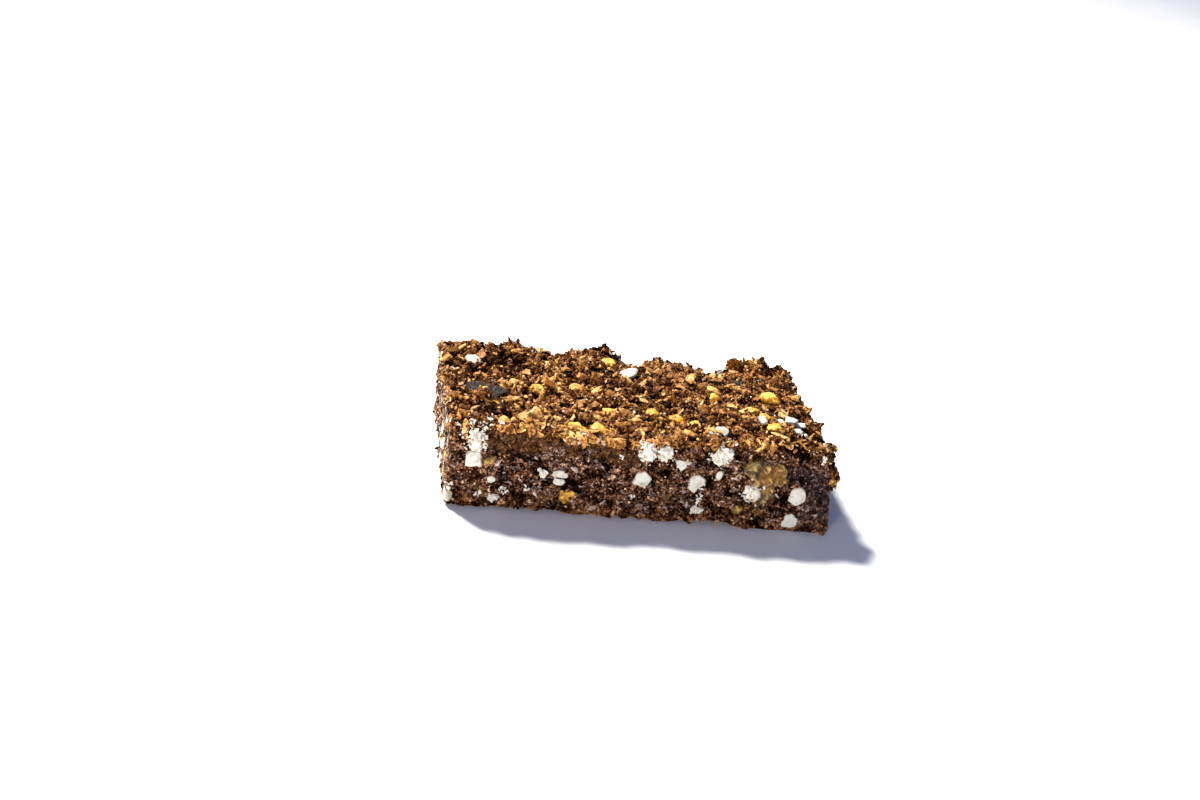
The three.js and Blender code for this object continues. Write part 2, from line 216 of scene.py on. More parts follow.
# Small bits of coconut in the cut side: x, z, width, height, count of crumbs
WHITE_BITS = [
    (-26.3, 10.7, 2.1, 1.8, 14), (-29.8, 6.2, 2.1, 2.4, 9), (-35.4, 5.2, 2.4, 2.1, 12),
    (-41.8, 3.5, 2.1, 2.1, 12), (-38.2, 2.4, 2.7, 1.2, 12), (-19.3, 20.4, 5.4, 1.1, 18),
    (-6.7, 17.1, 1.6, 1.2, 6), (-2.5, 5.9, 1.6, 1.5, 6), (20.1, 16.7, 2.7, 1.8, 9),
    (-43.4, 18.4, 8, 6, 14), (14.4, 3.6, 2.7, 1.6, 14), (14.7, 7.3, 1.4, 4.1, 14),
    (28.8, 3.1, 1.9, 0.9, 8), (47, 21, 1.3, 2.1, 12), (-48.7, 5.9, 1.3, 2.9, 12),
]

# Pinkish smears of pressed coconut, then tan ones of fruit, in the cut side: x, z, length, height
SMEARS = [
    (-26.7, 15.1, 3.4, 1.4), (-22.5, 17.1, 3.8, 2), (-27.9, 6.7, 4.6, 2.4), (-35.6, 5.1, 3.2, 1.8),
    (-8.6, 10.9, 3.6, 1.4), (-2.7, 5.8, 2.8, 1.6), (11.9, 20.8, 2.4, 2), (12.3, 15.9, 3.2, 1.6),
    (19.9, 16.6, 3.2, 1.2), (43.6, 7.6, 5.4, 1.3), (46.2, 5.2, 3.2, 1), (-15.5, 17.8, 3.2, 1.4),
    (-32.7, 14, 3.4, 1), (-33.3, 11.5, 4, 0.9), (-11.8, 13.4, 2.6, 1), (1.5, 8.6, 3, 1.4),
    (-20.6, 13.2, 3, 1), (35, 5, 3, 1.2), (-38, 10.6, 2.6, 1.4), (23.6, 10.2, 2.2, 1.6),
]
TAN_SMEARS = [
    (11.9, 18.9, 2.4, 2.6), (7.2, 7.5, 4, 1.3), (-23.6, 2.8, 3.6, 2.4), (-41.1, 4, 2.4, 3),
    (-24.4, 6.6, 2.2, 2), (30, 5.4, 3, 2),
]

# Crumbs that stand up from the top: x, y, length
STANDING = [
    (-14.6, 25, 3.4), (-16.5, 26, 2.6), (-31, 26, 3), (-28.5, 26.5, 2.4), (29.5, 25.5, 3.2),
    (12, 26, 2.2),
]

# The camera, from the photograph: a 50 mm lens that looks down on the cut side, rolled over
AIM = (-7.1, 8.6, 15.4)
DISTANCE = 441
AZIMUTH, ELEVATION, ROLL = 11.8, 24.2, 10
LENS, SENSOR = 50, 36

# The lights: name, place in metres, size, power, colour
LIGHTS = [
    ("key", (-0.45, 0.55, 0.85), 0.22, 39, (1.0, 0.97, 0.89)),
    ("fill", (-0.5, -0.86, 0.14), 0.2, 7.2, (1.0, 0.94, 0.86)),
]
LIT_POINT = Vector((0, 0, 0.01))
SKY, SKY_STRENGTH = (0.46, 0.56, 1.0, 1), 0.28
FLOOR_REACH, FLOOR_HEIGHT = 5000, -0.05

MM = 0.001
BOX_LOW = np.array([-LENGTH / 2, -WIDTH / 2, 0])
BOX_HIGH = np.array([LENGTH / 2, WIDTH / 2, HEIGHT])
rng = np.random.default_rng(7)


# --- Repeatable noise, the same as the part's ---

def hashed(i, j, k, seed):
    """A number from 0 to 1 for whole numbers i, j and k."""
    u = np.uint32
    i, j, k = (np.asarray(c).astype(np.int64).astype(u) for c in (i, j, k))
    with np.errstate(over="ignore"):
        h = i * u(374761393) ^ j * u(668265263) ^ k * u(1442695041)
        h = (h ^ u(seed) * u(1274126177)) * u(2246822519)
        h = (h ^ (h >> u(13))) * u(3266489917)
    return (h ^ (h >> u(16))) / 2.0**32


def smooth(t):
    c = np.clip(t, 0, 1)
    return c * c * (3 - 2 * c)


def mix(a, b, t):
    return a + (b - a) * t


def noise(points, size, seed):
    """Smooth noise from -1 to 1 whose features are about size across."""
    scaled = points / size
    cell = np.floor(scaled)
    a, b, c = smooth(scaled - cell).T
    i, j, k = cell.T

    def plane(dk):
        near = mix(hashed(i, j, k + dk, seed), hashed(i + 1, j, k + dk, seed), a)
        far = mix(hashed(i, j + 1, k + dk, seed), hashed(i + 1, j + 1, k + dk, seed), a)
        return mix(near, far, b)

    return mix(plane(0), plane(1), c) * 2 - 1


def soft_polygon(angle, edges, sharp=5):
    """How far a rounded polygon reaches at each angle, for its edges (degrees, distance)."""
    facing = (np.maximum(np.cos(angle - math.radians(way)), 0) / far for way, far in edges)
    return sum(each**sharp for each in facing) ** (-1 / sharp)


def clods(points, size, seed):
    """Rounded clods from 0 to 1, one round a jittered point of each cell."""
    cell = np.floor(points / size)
    best = np.zeros(len(points))
    for n in range(27):
        at = cell + np.array([n % 3, n // 3 % 3, n // 9]) - 1
        i, j, k = at.T
        centre = (at + np.stack([hashed(i, j, k, seed + 7 * axis) for axis in range(3)], -1)) * size
        far = np.linalg.norm(points - centre, axis=1) / size
        best = np.maximum(best, (0.35 + 0.65 * hashed(i, j, k, seed + 29)) * (1 - far * far))
    return best


# --- The slice's surface, as in the part ---

def relief(points):
    """The height of the pressed crumbs, in clods of three sizes on a broad swell."""
    lumps = sum(height * (clods(points, size, seed) - 0.5) for size, height, seed in CLODS)
    size, height, seed = SWELL
    return lumps + height * noise(points, size, seed)


def top_height(x, y):
    """The height of the top, without its crumbs: four corners with bumps along the edges."""
    u, v = x / LENGTH + 0.5, y / WIDTH + 0.5
    bumps = sum(
        rise * np.exp(-(((x - bx) / rx) ** 2) - ((y - by) / ry) ** 2)
        for bx, by, rx, ry, rise in TOP_SHAPE
    )
    return mix(mix(*FRONT_CORNERS, u), mix(*BACK_CORNERS, u), v) + bumps


def bottom_lift(x, y):
    """How far the lower edge is crumbled away, mostly in front."""
    flat = np.stack([x, y, np.zeros_like(x)], -1)
    ragged = 0.75 + 0.5 * noise(flat, 5, 41)
    sound = smooth((SOUND_CORNER_X - x) / SOUND_CORNER_BLEND)
    front = smooth(1 - (y + WIDTH / 2) / LIFT_REACH) * sound
    edge = np.minimum(LENGTH / 2 - np.abs(x), WIDTH / 2 - np.abs(y))
    rim = 0.4 * smooth(1 - edge / (0.6 * LIFT_REACH))
    return EDGE_LIFT * ragged * np.maximum(front, rim)


def oval_share(across, up, ovals):
    """How far each place lies within soft ovals, given by their middles and reach both ways."""
    return sum(np.exp(-(((across - a) / ra) ** 4) - ((up - b) / rb) ** 4) for a, b, ra, rb in ovals)


def paste_share(points, zones):
    """How much of the cut side's surface is smooth paste, from 0 to 1."""
    x, y, z = points.T
    near = oval_share(x + 1.4 * noise(points, 2.4, 83), z + noise(points, 1.7, 84), zones)
    return np.clip(1.2 * near, 0, 1) * (y < IN_FRONT)


def dark_share(points):
    """How much of the top is dark paste between the crumbs, from 0 to 1."""
    x, y, z = points.T
    near = oval_share(x + 2 * noise(points, 3, 85), y + 1.2 * noise(points, 2.2, 86), TOP_DARK)
    return np.clip(near, 0, 1) * (z > HEIGHT / 2)


def cavities(points):
    """Where the sides have crumbled into small dark holes, from 0 to 1."""
    x, y, z = points.T
    placed = oval_share(x + 0.8 * noise(points, 1.7, 103), z + 0.8 * noise(points, 1.7, 104), HOLES)
    chance = smooth((noise(points, 2.6, 101) + 0.7 * noise(points, 1.2, 102) - 0.62) * 3.5)
    return np.maximum(chance, np.clip(placed, 0, 1) * (y < IN_FRONT))


def surface(box_points, fine=False):
    """Takes points of the sharp box to the slice's surface, with the way out and the relief."""
    half = np.array([LENGTH, WIDTH, HEIGHT]) / 2
    sharp = np.asarray(box_points, float) - [0, 0, half[2]]
    core = np.clip(sharp, EDGE_RADIUS - half, half - EDGE_RADIUS)
    reach = np.linalg.norm(sharp - core, axis=1, keepdims=True)
    out = (sharp - core) / reach
    rounded = core + out * EDGE_RADIUS + [0, 0, half[2]]

    up = np.maximum(out[:, 2], 0) ** 2
    beside = 1 - out[:, 2] ** 2
    crumbs = relief(rounded)
    push = crumbs * (up * TOP_RELIEF + beside * SIDE_RELIEF) - beside * SIDE_LEVEL
    if fine:
        extra = sum(h * (clods(rounded, size, seed) - 0.5) for size, h, seed in FINE_CLODS)
        extra = extra * (1 - 0.6 * paste_share(rounded, PASTE + DATE_PASTE))
        hole = cavities(rounded) * beside
        # Holes also lower the relief, so that the painted shade in the pits darkens them.
        crumbs = crumbs + extra - 2 * hole
        push = push + extra * (up + beside * FINE_SIDE_RELIEF) - CAVITY_DEPTH * hole
    x, y, z = rounded.T
    height = z / HEIGHT
    lean = END_LEAN * height**1.3 * smooth(x / LENGTH + 0.5) ** 2
    foot = FOOT_LEAN * (1 - height) * smooth(0.5 - x / LENGTH) ** 2
    lift = bottom_lift(x, y)
    if fine:
        lift = lift * (1 + EDGE_NOTCHES * noise(rounded * [1, 1, 0], 1.9, 43))
    lift = lift * (1 - height)
    at = np.stack([
        np.clip(x + out[:, 0] * push - lean + foot, -LENGTH / 2, LENGTH / 2),
        np.clip(y + out[:, 1] * push, -WIDTH / 2, WIDTH / 2),
        top_height(x, y) * height + np.maximum(out[:, 2], 0) * push + lift - SUNK * (1 - height),
    ], -1)
    at[:, 2] = np.maximum(at[:, 2], 0)
    return at, out, crumbs


# --- Meshes ---

def new_object(name, data):
    """An object in the scene for a mesh, a light or a camera."""
    placed = bpy.data.objects.new(name, data)
    bpy.context.scene.collection.objects.link(placed)
    return placed


def mesh_piece(name, points, faces, slot, material, shade_smooth=True, **values):
    """A piece on the root body from points in millimetres and triangles, with values by point."""
    mesh = bpy.data.meshes.new(name)
    mesh.vertices.add(len(points))
    mesh.vertices.foreach_set("co", (np.asarray(points, np.float32) * MM).ravel())
    mesh.loops.add(len(faces) * 3)
    mesh.loops.foreach_set("vertex_index", np.asarray(faces, np.int32).ravel())
    mesh.polygons.add(len(faces))
    mesh.polygons.foreach_set("loop_start", np.arange(len(faces), dtype=np.int32) * 3)
    mesh.polygons.foreach_set("use_smooth", np.full(len(faces), shade_smooth))
    mesh.update(calc_edges=True)
    for label, each in values.items():
        layer = mesh.attributes.new(label, "FLOAT", "POINT")
        layer.data.foreach_set("value", np.asarray(each, np.float32).ravel())
    mesh.materials.append(material)
    piece = new_object(name, mesh)
    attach(piece, "root")
    return piece


def ball(level):
    """Points and triangles of an even ball of radius 1."""
    shape = bmesh.new()
    bmesh.ops.create_icosphere(shape, subdivisions=level, radius=1)
    points = np.array([v.co[:] for v in shape.verts])
    faces = np.array([[v.index for v in f.verts] for f in shape.faces])
    shape.free()
    return points, faces


def random_turns(count):
    """Evenly spread random rotations, as matrices."""
    q = rng.normal(size=(count, 4))
    w, x, y, z = (q / np.linalg.norm(q, axis=1, keepdims=True)).T
    return np.stack([
        np.stack([1 - 2 * (y * y + z * z), 2 * (x * y - w * z), 2 * (x * z + w * y)], -1),
        np.stack([2 * (x * y + w * z), 1 - 2 * (x * x + z * z), 2 * (y * z - w * x)], -1),
        np.stack([2 * (x * z - w * y), 2 * (y * z + w * x), 1 - 2 * (x * x + y * y)], -1),
    ], 1)


def frames_on(out, tip):
    """Rotations, turned at random, whose third axis is within about tip radians of out."""
    away = out + tip * rng.normal(size=out.shape)
    third = away / np.linalg.norm(away, axis=1, keepdims=True)
    loose = rng.normal(size=out.shape)
    first = np.cross(loose, third)
    first /= np.linalg.norm(first, axis=1, keepdims=True)
    return np.stack([first, np.cross(third, first), third], -1)


class Heap:
    """Many small shapes gathered into one mesh."""

    def __init__(self):
        self.points, self.faces, self.tints, self.count = [], [], [], 0

    def add(self, shapes, at, turns, sizes, tints):
        """Copies of the shapes in turn, one at each place."""
        for number, (points, faces) in enumerate(shapes):
            mine = slice(number, None, len(shapes))
            scaled = points[None] * sizes[mine][:, None, None]
            placed = np.einsum("nij,npj->npi", turns[mine], scaled) + at[mine][:, None]
            placed[..., 2] = np.maximum(placed[..., 2], 0.02)
            copies = len(placed)
            first = self.count + np.arange(copies)[:, None, None] * len(points)
            self.points.append(placed.reshape(-1, 3))
            self.faces.append((faces[None] + first).reshape(-1, 3))
            self.tints.append(np.repeat(tints[mine], len(points)))
            self.count += copies * len(points)

    def add_one(self, points, faces, tints):
        """A single shape, in place, with a tint for each point."""
        self.points.append(np.maximum(points, [-1e9, -1e9, 0.02]))
        self.faces.append(faces + self.count)
        self.tints.append(tints)
        self.count += len(points)

    def piece(self, name, material, shade_smooth=True):
        points, faces = np.concatenate(self.points), np.concatenate(self.faces)
        tints = np.concatenate(self.tints)
        mesh_piece(name, points, faces, "cake", MATERIALS[material], shade_smooth, tint=tints)


# --- Materials ---

def srgb(red, green, blue):
    """A colour given from 0 to 255 as it looks, as the shader takes it."""
    parts = [c / 255 for c in (red, green, blue)]
    return [c / 12.92 if c <= 0.04045 else ((c + 0.055) / 1.055) ** 2.4 for c in parts] + [1]


class Finish:
    """A material under construction, with the few kinds of node that these looks need."""

    def __init__(self, name, **constants):
        self.material = bpy.data.materials.new(name)
        self.material.use_nodes = True
        self.nodes = self.material.node_tree.nodes
        self.links = self.material.node_tree.links
        self.shader = self.nodes["Principled BSDF"]
        self.place = self.node("TexCoord").outputs["Object"]
        for socket, value in constants.items():
            self.shader.inputs[socket.replace("_", " ")].default_value = value

    def join(self, value, socket):
        if isinstance(value, bpy.types.NodeSocket):
            self.links.new(value, socket)
        else:
            socket.default_value = value

    def node(self, kind, **inputs):
        """A new node with values or links on its inputs."""
        node = self.nodes.new("ShaderNode" + kind)
        for socket, value in inputs.items():
            self.join(value, node.inputs[socket])
        return node

    def noise(self, size, detail=3, rough=0.6, stretch=None):
        """Noise with features of about size millimetres."""
        place = self.place
        if stretch:
            place = self.node("Mapping", Scale=stretch, Vector=place).outputs["Vector"]
        scale = 1 / (size * MM)
        node = self.node("TexNoise", Scale=scale, Detail=detail, Roughness=rough, Vector=place)
        return node.outputs["Fac"]

    def cells(self, size, output="Distance"):
        """Grains of about size millimetres: how far each one's middle is, or a colour for each."""
        return self.node("TexVoronoi", Scale=1 / (size * MM), Vector=self.place).outputs[output]

    def value(self, name):
        node = self.node("Attribute")
        node.attribute_name = name
        return node.outputs["Fac"]

    def maths(self, kind, a, b=0.0, c=0.0):
        node = self.node("Math")
        node.operation = kind
        for each, socket in zip((a, b, c), node.inputs):
            self.join(each, socket)
        return node.outputs[0]

    def spread(self, value, low, high, to_low=0.0, to_high=1.0):
        node = self.node("MapRange")
        for each, socket in zip((value, low, high, to_low, to_high), node.inputs):
            self.join(each, socket)
        return node.outputs["Result"]

    def ramp(self, value, *stops):
        """Colours along the value: (position, red, green, blue) each."""
        node = self.node("ValToRGB", Fac=value)
        elements = node.color_ramp.elements
        while len(elements) < len(stops):
            elements.new(1.0)
        for element, (position, *colour) in zip(elements, stops):
            element.position, element.color = position, srgb(*colour)
        return node.outputs["Color"]

    def blend(self, share, a, b, most=1.0):
        """A mix of two colours, at most so much of the second, which may be given as it looks."""
        node = self.node("Mix", Factor=share if most == 1 else self.maths("MULTIPLY", share, most))
        node.data_type = "RGBA"
        self.join(a, node.inputs[6])
        self.join(srgb(*b) if isinstance(b, tuple) else b, node.inputs[7])
        return node.outputs[2]

    def bump(self, height, depth, strength=1.0):
        """Bump of the given depth in millimetres."""
        node = self.node("Bump", Strength=strength, Distance=depth * MM, Height=height)
        self.links.new(node.outputs["Normal"], self.shader.inputs["Normal"])

    def set(self, socket, value):
        self.join(value, self.shader.inputs[socket])

    def roughness(self, size, low, high):
        """Roughness that varies between two values in patches of about size millimetres."""
        self.set("Roughness", self.spread(self.noise(size), 0.3, 0.7, low, high))


CRUMB_STOPS = (0.0, 0.25, 0.5, 0.78, 1.0)


def crumb_material(name, *colours):
    """Broken crumb, mottled through five colours from dark to pale. Its pale bits glisten."""
    m = Finish(name)
    grain = m.spread(m.noise(0.6, 4, 0.7), 0.32, 0.68, -0.26, 0.26)
    granule = m.spread(m.cells(0.45, "Color"), 0.2, 0.8, -0.18, 0.18)
    shade = m.maths("ADD", m.value("tint"), m.maths("ADD", grain, granule))
    stops = zip(CRUMB_STOPS, colours)
    m.set("Base Color", m.ramp(shade, *((position, *colour) for position, colour in stops)))
    m.set("Specular IOR Level", m.spread(shade, 0.15, 0.8, 0.02, 0.4))
    m.roughness(0.5, 0.3, 0.6)
    m.bump(m.noise(0.3, 4, 0.7), 0.22)
    return m.material


def core_material():
    """Pressed crumb: warm on the top, darker and finer where it is cut, with painted shade near
    black in its pits and darker where dark paste lies on the top.
    """
    m = Finish("cake_crumb")
    grain = m.spread(m.noise(0.55, 4, 0.7), 0.37, 0.65, 0.0, 0.75)
    granule = m.spread(m.cells(0.5, "Color"), 0.2, 0.8, -0.17, 0.2)
    broad = m.spread(m.noise(3.4, 3, 0.6), 0.36, 0.64, -0.24, 0.2)
    # Painted shade: the pit value darkens the crumb to near black in the pits, and where dark paste
    # lies on the top.
    pits = m.maths("MULTIPLY", m.value("pit"), -0.5)
    shade = m.maths("ADD", m.maths("ADD", grain, granule), m.maths("ADD", broad, pits))
    warm = m.ramp(
        shade, (0.0, 14, 6, 2), (0.3, 60, 32, 13), (0.6, 126, 78, 38),
        (0.85, 186, 124, 66), (1.0, 226, 166, 98),
    )
    dark = m.ramp(
        shade, (0.0, 7, 4, 3), (0.26, 42, 23, 13), (0.52, 98, 60, 36),
        (0.76, 162, 116, 82), (1.0, 234, 200, 172),
    )
    mauve = m.spread(m.noise(1.0, 4, 0.7, stretch=(0.5, 1.0, 1.4)), 0.57, 0.64)
    patch = m.maths("MULTIPLY", m.spread(m.noise(7, 2, 0.5), 0.45, 0.6), 0.85)
    dark = m.blend(m.maths("MULTIPLY", mauve, patch), dark, (204, 178, 174))
    fine = m.maths("ADD", m.noise(1.1, 5, 0.75), m.spread(m.noise(0.35, 2), 0.3, 0.7, -0.1, 0.1))
    paste = m.ramp(
        fine, (0.36, 16, 8, 4), (0.46, 52, 30, 16), (0.58, 98, 62, 34), (0.68, 158, 116, 76)
    )
    plum = m.ramp(
        fine, (0.4, 14, 8, 8), (0.5, 46, 30, 28), (0.6, 84, 62, 58), (0.68, 168, 142, 134)
    )
    colour = m.blend(m.value("cut"), warm, dark)
    colour = m.blend(m.value("paste"), colour, paste)
    m.set("Base Color", m.blend(m.value("plum"), colour, plum))
    m.set("Specular IOR Level", m.spread(shade, 0.3, 0.9, 0.0, 0.35))
    m.roughness(0.6, 0.3, 0.65)
    m.bump(m.maths("SUBTRACT", m.noise(0.4, 4, 0.7), m.cells(0.55)), 0.35)
    return m.material


def grain_material(name, deep, mid, pale, rough, mottle, sheen):
    """Buckwheat: mottled between three colours, deepest at the rim: seed coat left there on the
    white grains, painted shade on the others.
    """
    m = Finish(name, Specular_IOR_Level=sheen)
    mottled = m.spread(m.noise(mottle, 4, 0.6), 0.3, 0.7, 0.15, 0.85)
    mottled = m.maths("ADD", mottled, m.value("tint"))
    m.set("Base Color", m.ramp(mottled, (0.0, *deep), (0.45, *mid), (0.9, *pale)))
    m.roughness(0.5, rough - 0.1, rough + 0.12)
    m.bump(m.noise(0.7, 4, 0.65), 0.3)
    return m.material


def fruit_material():
    """Moist, slightly see-through flesh: tan at the left, amber, olive at the right, creased, with
    painted shade in the fold and a painted highlight on the raised crests.
    """
    m = Finish(
        "fruit_flesh", Specular_IOR_Level=0.6, Subsurface_Weight=0.15, Subsurface_Scale=0.0012
    )
    m.shader.inputs["Subsurface Radius"].default_value = (1.0, 0.6, 0.25)
    mottle = m.noise(1.8, 6, 0.8)
    tan = m.ramp(
        mottle, (0.34, 48, 29, 11), (0.46, 108, 75, 32), (0.57, 166, 127, 66), (0.67, 232, 200, 138)
    )
    amber = m.ramp(
        mottle, (0.34, 52, 26, 4), (0.46, 132, 80, 14), (0.58, 188, 132, 34), (0.68, 248, 218, 130)
    )
    flesh = m.blend(m.value("right"), tan, amber)
    streak = m.spread(m.noise(1.6, 4, 0.7, stretch=(0.5, 1.0, 1.3)), 0.56, 0.64)
    flesh = m.blend(streak, flesh, (226, 206, 150), 0.5)
    # Painted highlight: paler flesh on the raised crests of the fibres.
    flesh = m.blend(m.value("crest"), flesh, (240, 208, 128), 0.6)
    vein = m.spread(m.noise(2.6, 5, 0.7, stretch=(1.3, 1.0, 0.5)), 0.54, 0.62)
    flesh = m.blend(vein, flesh, (70, 40, 10), 0.7)
    # Painted shade: near black in the fold.
    flesh = m.blend(m.value("crease"), flesh, (24, 12, 4))
    m.set("Base Color", m.blend(m.value("rim"), flesh, (52, 32, 19)))
    m.roughness(1.2, 0.14, 0.4)
    m.bump(m.noise(0.9, 5, 0.75), 0.9)
    return m.material


def date_material():
    """Dark moist skin with paler specks, and crumb-brown where it is crusted over at its rim."""
    m = Finish("date_skin", Specular_IOR_Level=0.25)
    speckle = m.spread(m.cells(0.3, "Color"), 0.2, 0.8, -0.09, 0.09)
    shade = m.maths("ADD", m.noise(1.1, 5, 0.8), speckle)
    skin = m.ramp(
        shade, (0.36, 6, 4, 4), (0.5, 27, 22, 21), (0.61, 66, 54, 47), (0.7, 168, 148, 130)
    )
    m.set("Base Color", m.blend(m.value("rim"), skin, (52, 31, 18)))
    m.roughness(0.8, 0.25, 0.5)
    m.bump(m.noise(0.5, 5, 0.8, stretch=(0.6, 1.4, 1.0)), 0.6)
    return m.material


def shred_material(name, deep, mid, pale):
    """Grated coconut, from brown to white by its tint; on the tufts the brown in the hollows is
    painted shade.
    """
    m = Finish(name, Specular_IOR_Level=0.25)
    shade = m.maths("ADD", m.value("tint"), m.spread(m.noise(0.5, 4, 0.7), 0.3, 0.7, -0.22, 0.22))
    m.set("Base Color", m.ramp(shade, (0.0, *deep), (0.5, *mid), (1.0, *pale)))
    m.roughness(0.5, 0.5, 0.75)
    m.bump(m.noise(0.35, 4, 0.7), 0.15, 0.9)
    return m.material


# Grains: colours from deep to pale, roughness, size of the mottling, sheen
GRAIN_LOOKS = {
    "white": ((112, 84, 44), (178, 172, 154), (208, 206, 196), 0.5, 1.4, 0.25),
    "gold": ((112, 60, 4), (204, 138, 22), (240, 196, 84), 0.34, 0.9, 0.4),
    "amber": ((70, 38, 6), (180, 122, 26), (240, 192, 84), 0.36, 0.9, 0.35),
    "tan": ((92, 52, 16), (172, 114, 48), (228, 176, 100), 0.5, 0.9, 0.22),
    "olive": ((46, 30, 10), (122, 92, 36), (184, 152, 80), 0.45, 0.9, 0.22),
}
MATERIALS = {
    "core": core_material(),
    "crumb": crumb_material(
        "crumb", (20, 9, 3), (84, 46, 17), (153, 97, 40), (209, 146, 66), (238, 194, 120)
    ),
    "side": crumb_material(
        "crumb_cut", (12, 6, 3), (58, 32, 16), (124, 77, 42), (184, 128, 80), (236, 198, 156)
    ),
    "coconut": shred_material("coconut", (134, 100, 64), (204, 195, 178), (228, 224, 214)),
    "streak": shred_material("coconut_streak", (66, 48, 32), (146, 124, 98), (230, 222, 208)),
    "fleck": shred_material("coconut_in_paste", (58, 38, 32), (128, 100, 90), (204, 184, 174)),
    **{kind: grain_material(f"grain_{kind}", *look) for kind, look in GRAIN_LOOKS.items()},
    "fruit": fruit_material(),
    "date": date_material(),
}


# --- The slice ---

def box_lattice(rim=12, coarse=8):
    """Points of the sharp box on a fine even grid, and its triangles, facing out.

    Underneath, more than rim cells from the edges, all is flat and the grid is coarse.
    """
    counts = [round(size / CELL) for size in (LENGTH, WIDTH, HEIGHT)]
    quads = []
    for axis in range(3):
        u, v = (axis + 1) % 3, (axis + 2) % 3
        gu, gv = np.meshgrid(np.arange(counts[u]), np.arange(counts[v]), indexing="ij")
        for side in (0, counts[axis]):
            step = np.ones_like(gu)
            if axis == 2 and side == 0:
                inner = np.minimum(gu, gv) >= rim
                inner &= (gu < counts[u] - rim) & (gv < counts[v] - rim)
                corners = ((gu - rim) % coarse == 0) & ((gv - rim) % coarse == 0)
                step[inner] = np.where(corners, coarse, 0)[inner]
            kept = step > 0
            ring = []
            for du, dv in ((0, 0), (1, 0), (1, 1), (0, 1)):
                corner = np.empty(gu.shape + (3,), np.int64)
                corner[..., axis] = side
                corner[..., u], corner[..., v] = gu + du * step, gv + dv * step
                ring.append(corner[kept])
            quads.append(np.stack(ring if side else ring[::-1], 1))
    keys = np.concatenate(quads).reshape(-1, 3)
    codes = (keys[:, 0] * (counts[1] + 1) + keys[:, 1]) * (counts[2] + 1) + keys[:, 2]
    _, first, index = np.unique(codes, return_index=True, return_inverse=True)
    quads = index.reshape(-1, 4)
    points = keys[first] / np.array(counts) * [LENGTH, WIDTH, HEIGHT] - [LENGTH / 2, WIDTH / 2, 0]
    return points, np.concatenate([quads[:, [0, 1, 2]], quads[:, [0, 2, 3]]])


def hollowness(crumbs):
    """How deep in a pit each point lies, from 0 to 1, from the relief; it sets where shade is
    painted into the pits.
    """
    return smooth(-0.75 * (crumbs - crumbs.mean()) / crumbs.std() - 0.1)


def make_core():
    """The slice itself, with finer clods than the part's, drawn back round the fruit."""
    box_points, faces = box_lattice()
    points, out, crumbs = surface(box_points, fine=True)
    x, y, z = points.T
    for name, (_, _, face, _) in FRUIT.items():
        on_face, outward = (z > HEIGHT / 2, [0, 0, 1]) if face == "top" else (y < 0, [0, -1, 0])
        bared = smooth((1.02 - fruit_reach(points, name)) * 6) * on_face
        points = points - FRUIT_HOLLOW * bared[:, None] * outward
    band = EDGE_BAND * (1 + 0.6 * noise(points, 4, 81))
    cut = smooth(z / band) * smooth((top_height(x, y) - z) / band) * smooth(1.5 - 2 * out[:, 2])
    # The pit value is painted shade in the pits of the relief, joined with the top's dark paste.
    piece = mesh_piece(
        "cake_core", points, faces, "cake", MATERIALS["core"],
        cut=cut, paste=paste_share(points, PASTE), plum=paste_share(points, DATE_PASTE),
        pit=np.maximum(hollowness(crumbs) * (1 - 0.3 * cut), 0.8 * dark_share(points)),
    )
    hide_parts("cake_slice")


def on_cut_side(x, z, low=0.0, high=HEIGHT):
    """The box's point, between two heights, that becomes the place x, z of the cut side."""
    return np.array([x, -WIDTH / 2, np.clip(z / top_height(x, -WIDTH / 2) * HEIGHT, low, high)])


def on_top(spacing, share=1.0):
    """Places spread over the top, about spacing apart, jittered."""
    nx, ny = round(LENGTH / spacing), round(WIDTH / spacing)
    i, j = np.meshgrid(np.arange(nx), np.arange(ny), indexing="ij")
    x = (i.ravel() + rng.random(nx * ny)) / nx * LENGTH - LENGTH / 2
    y = (j.ravel() + rng.random(nx * ny)) / ny * WIDTH - WIDTH / 2
    keep = rng.random(nx * ny) < share
    return np.stack([x, y, np.full_like(x, HEIGHT)], -1)[keep]


def round_sides(spacing, share=1.0, low=0.0, high=1.0):
    """Places round the four sides between two shares of the height, about spacing apart."""
    places = []
    for axis, length in ((1, LENGTH), (0, WIDTH)):
        for side in (-1, 1):
            nu = round(length / spacing)
            nz = max(round(HEIGHT * (high - low) / spacing), 1)
            i, j = np.meshgrid(np.arange(nu), np.arange(nz), indexing="ij")
            place = np.empty((nu * nz, 3))
            place[:, 1 - axis] = (i.ravel() + rng.random(nu * nz)) / nu * length - length / 2
            place[:, axis] = side * (WIDTH if axis else LENGTH) / 2
            place[:, 2] = HEIGHT * (low + (high - low) * (j.ravel() + rng.random(nu * nz)) / nz)
            places.append(place[rng.random(nu * nz) < share])
    return np.concatenate(places)


# --- Grains ---

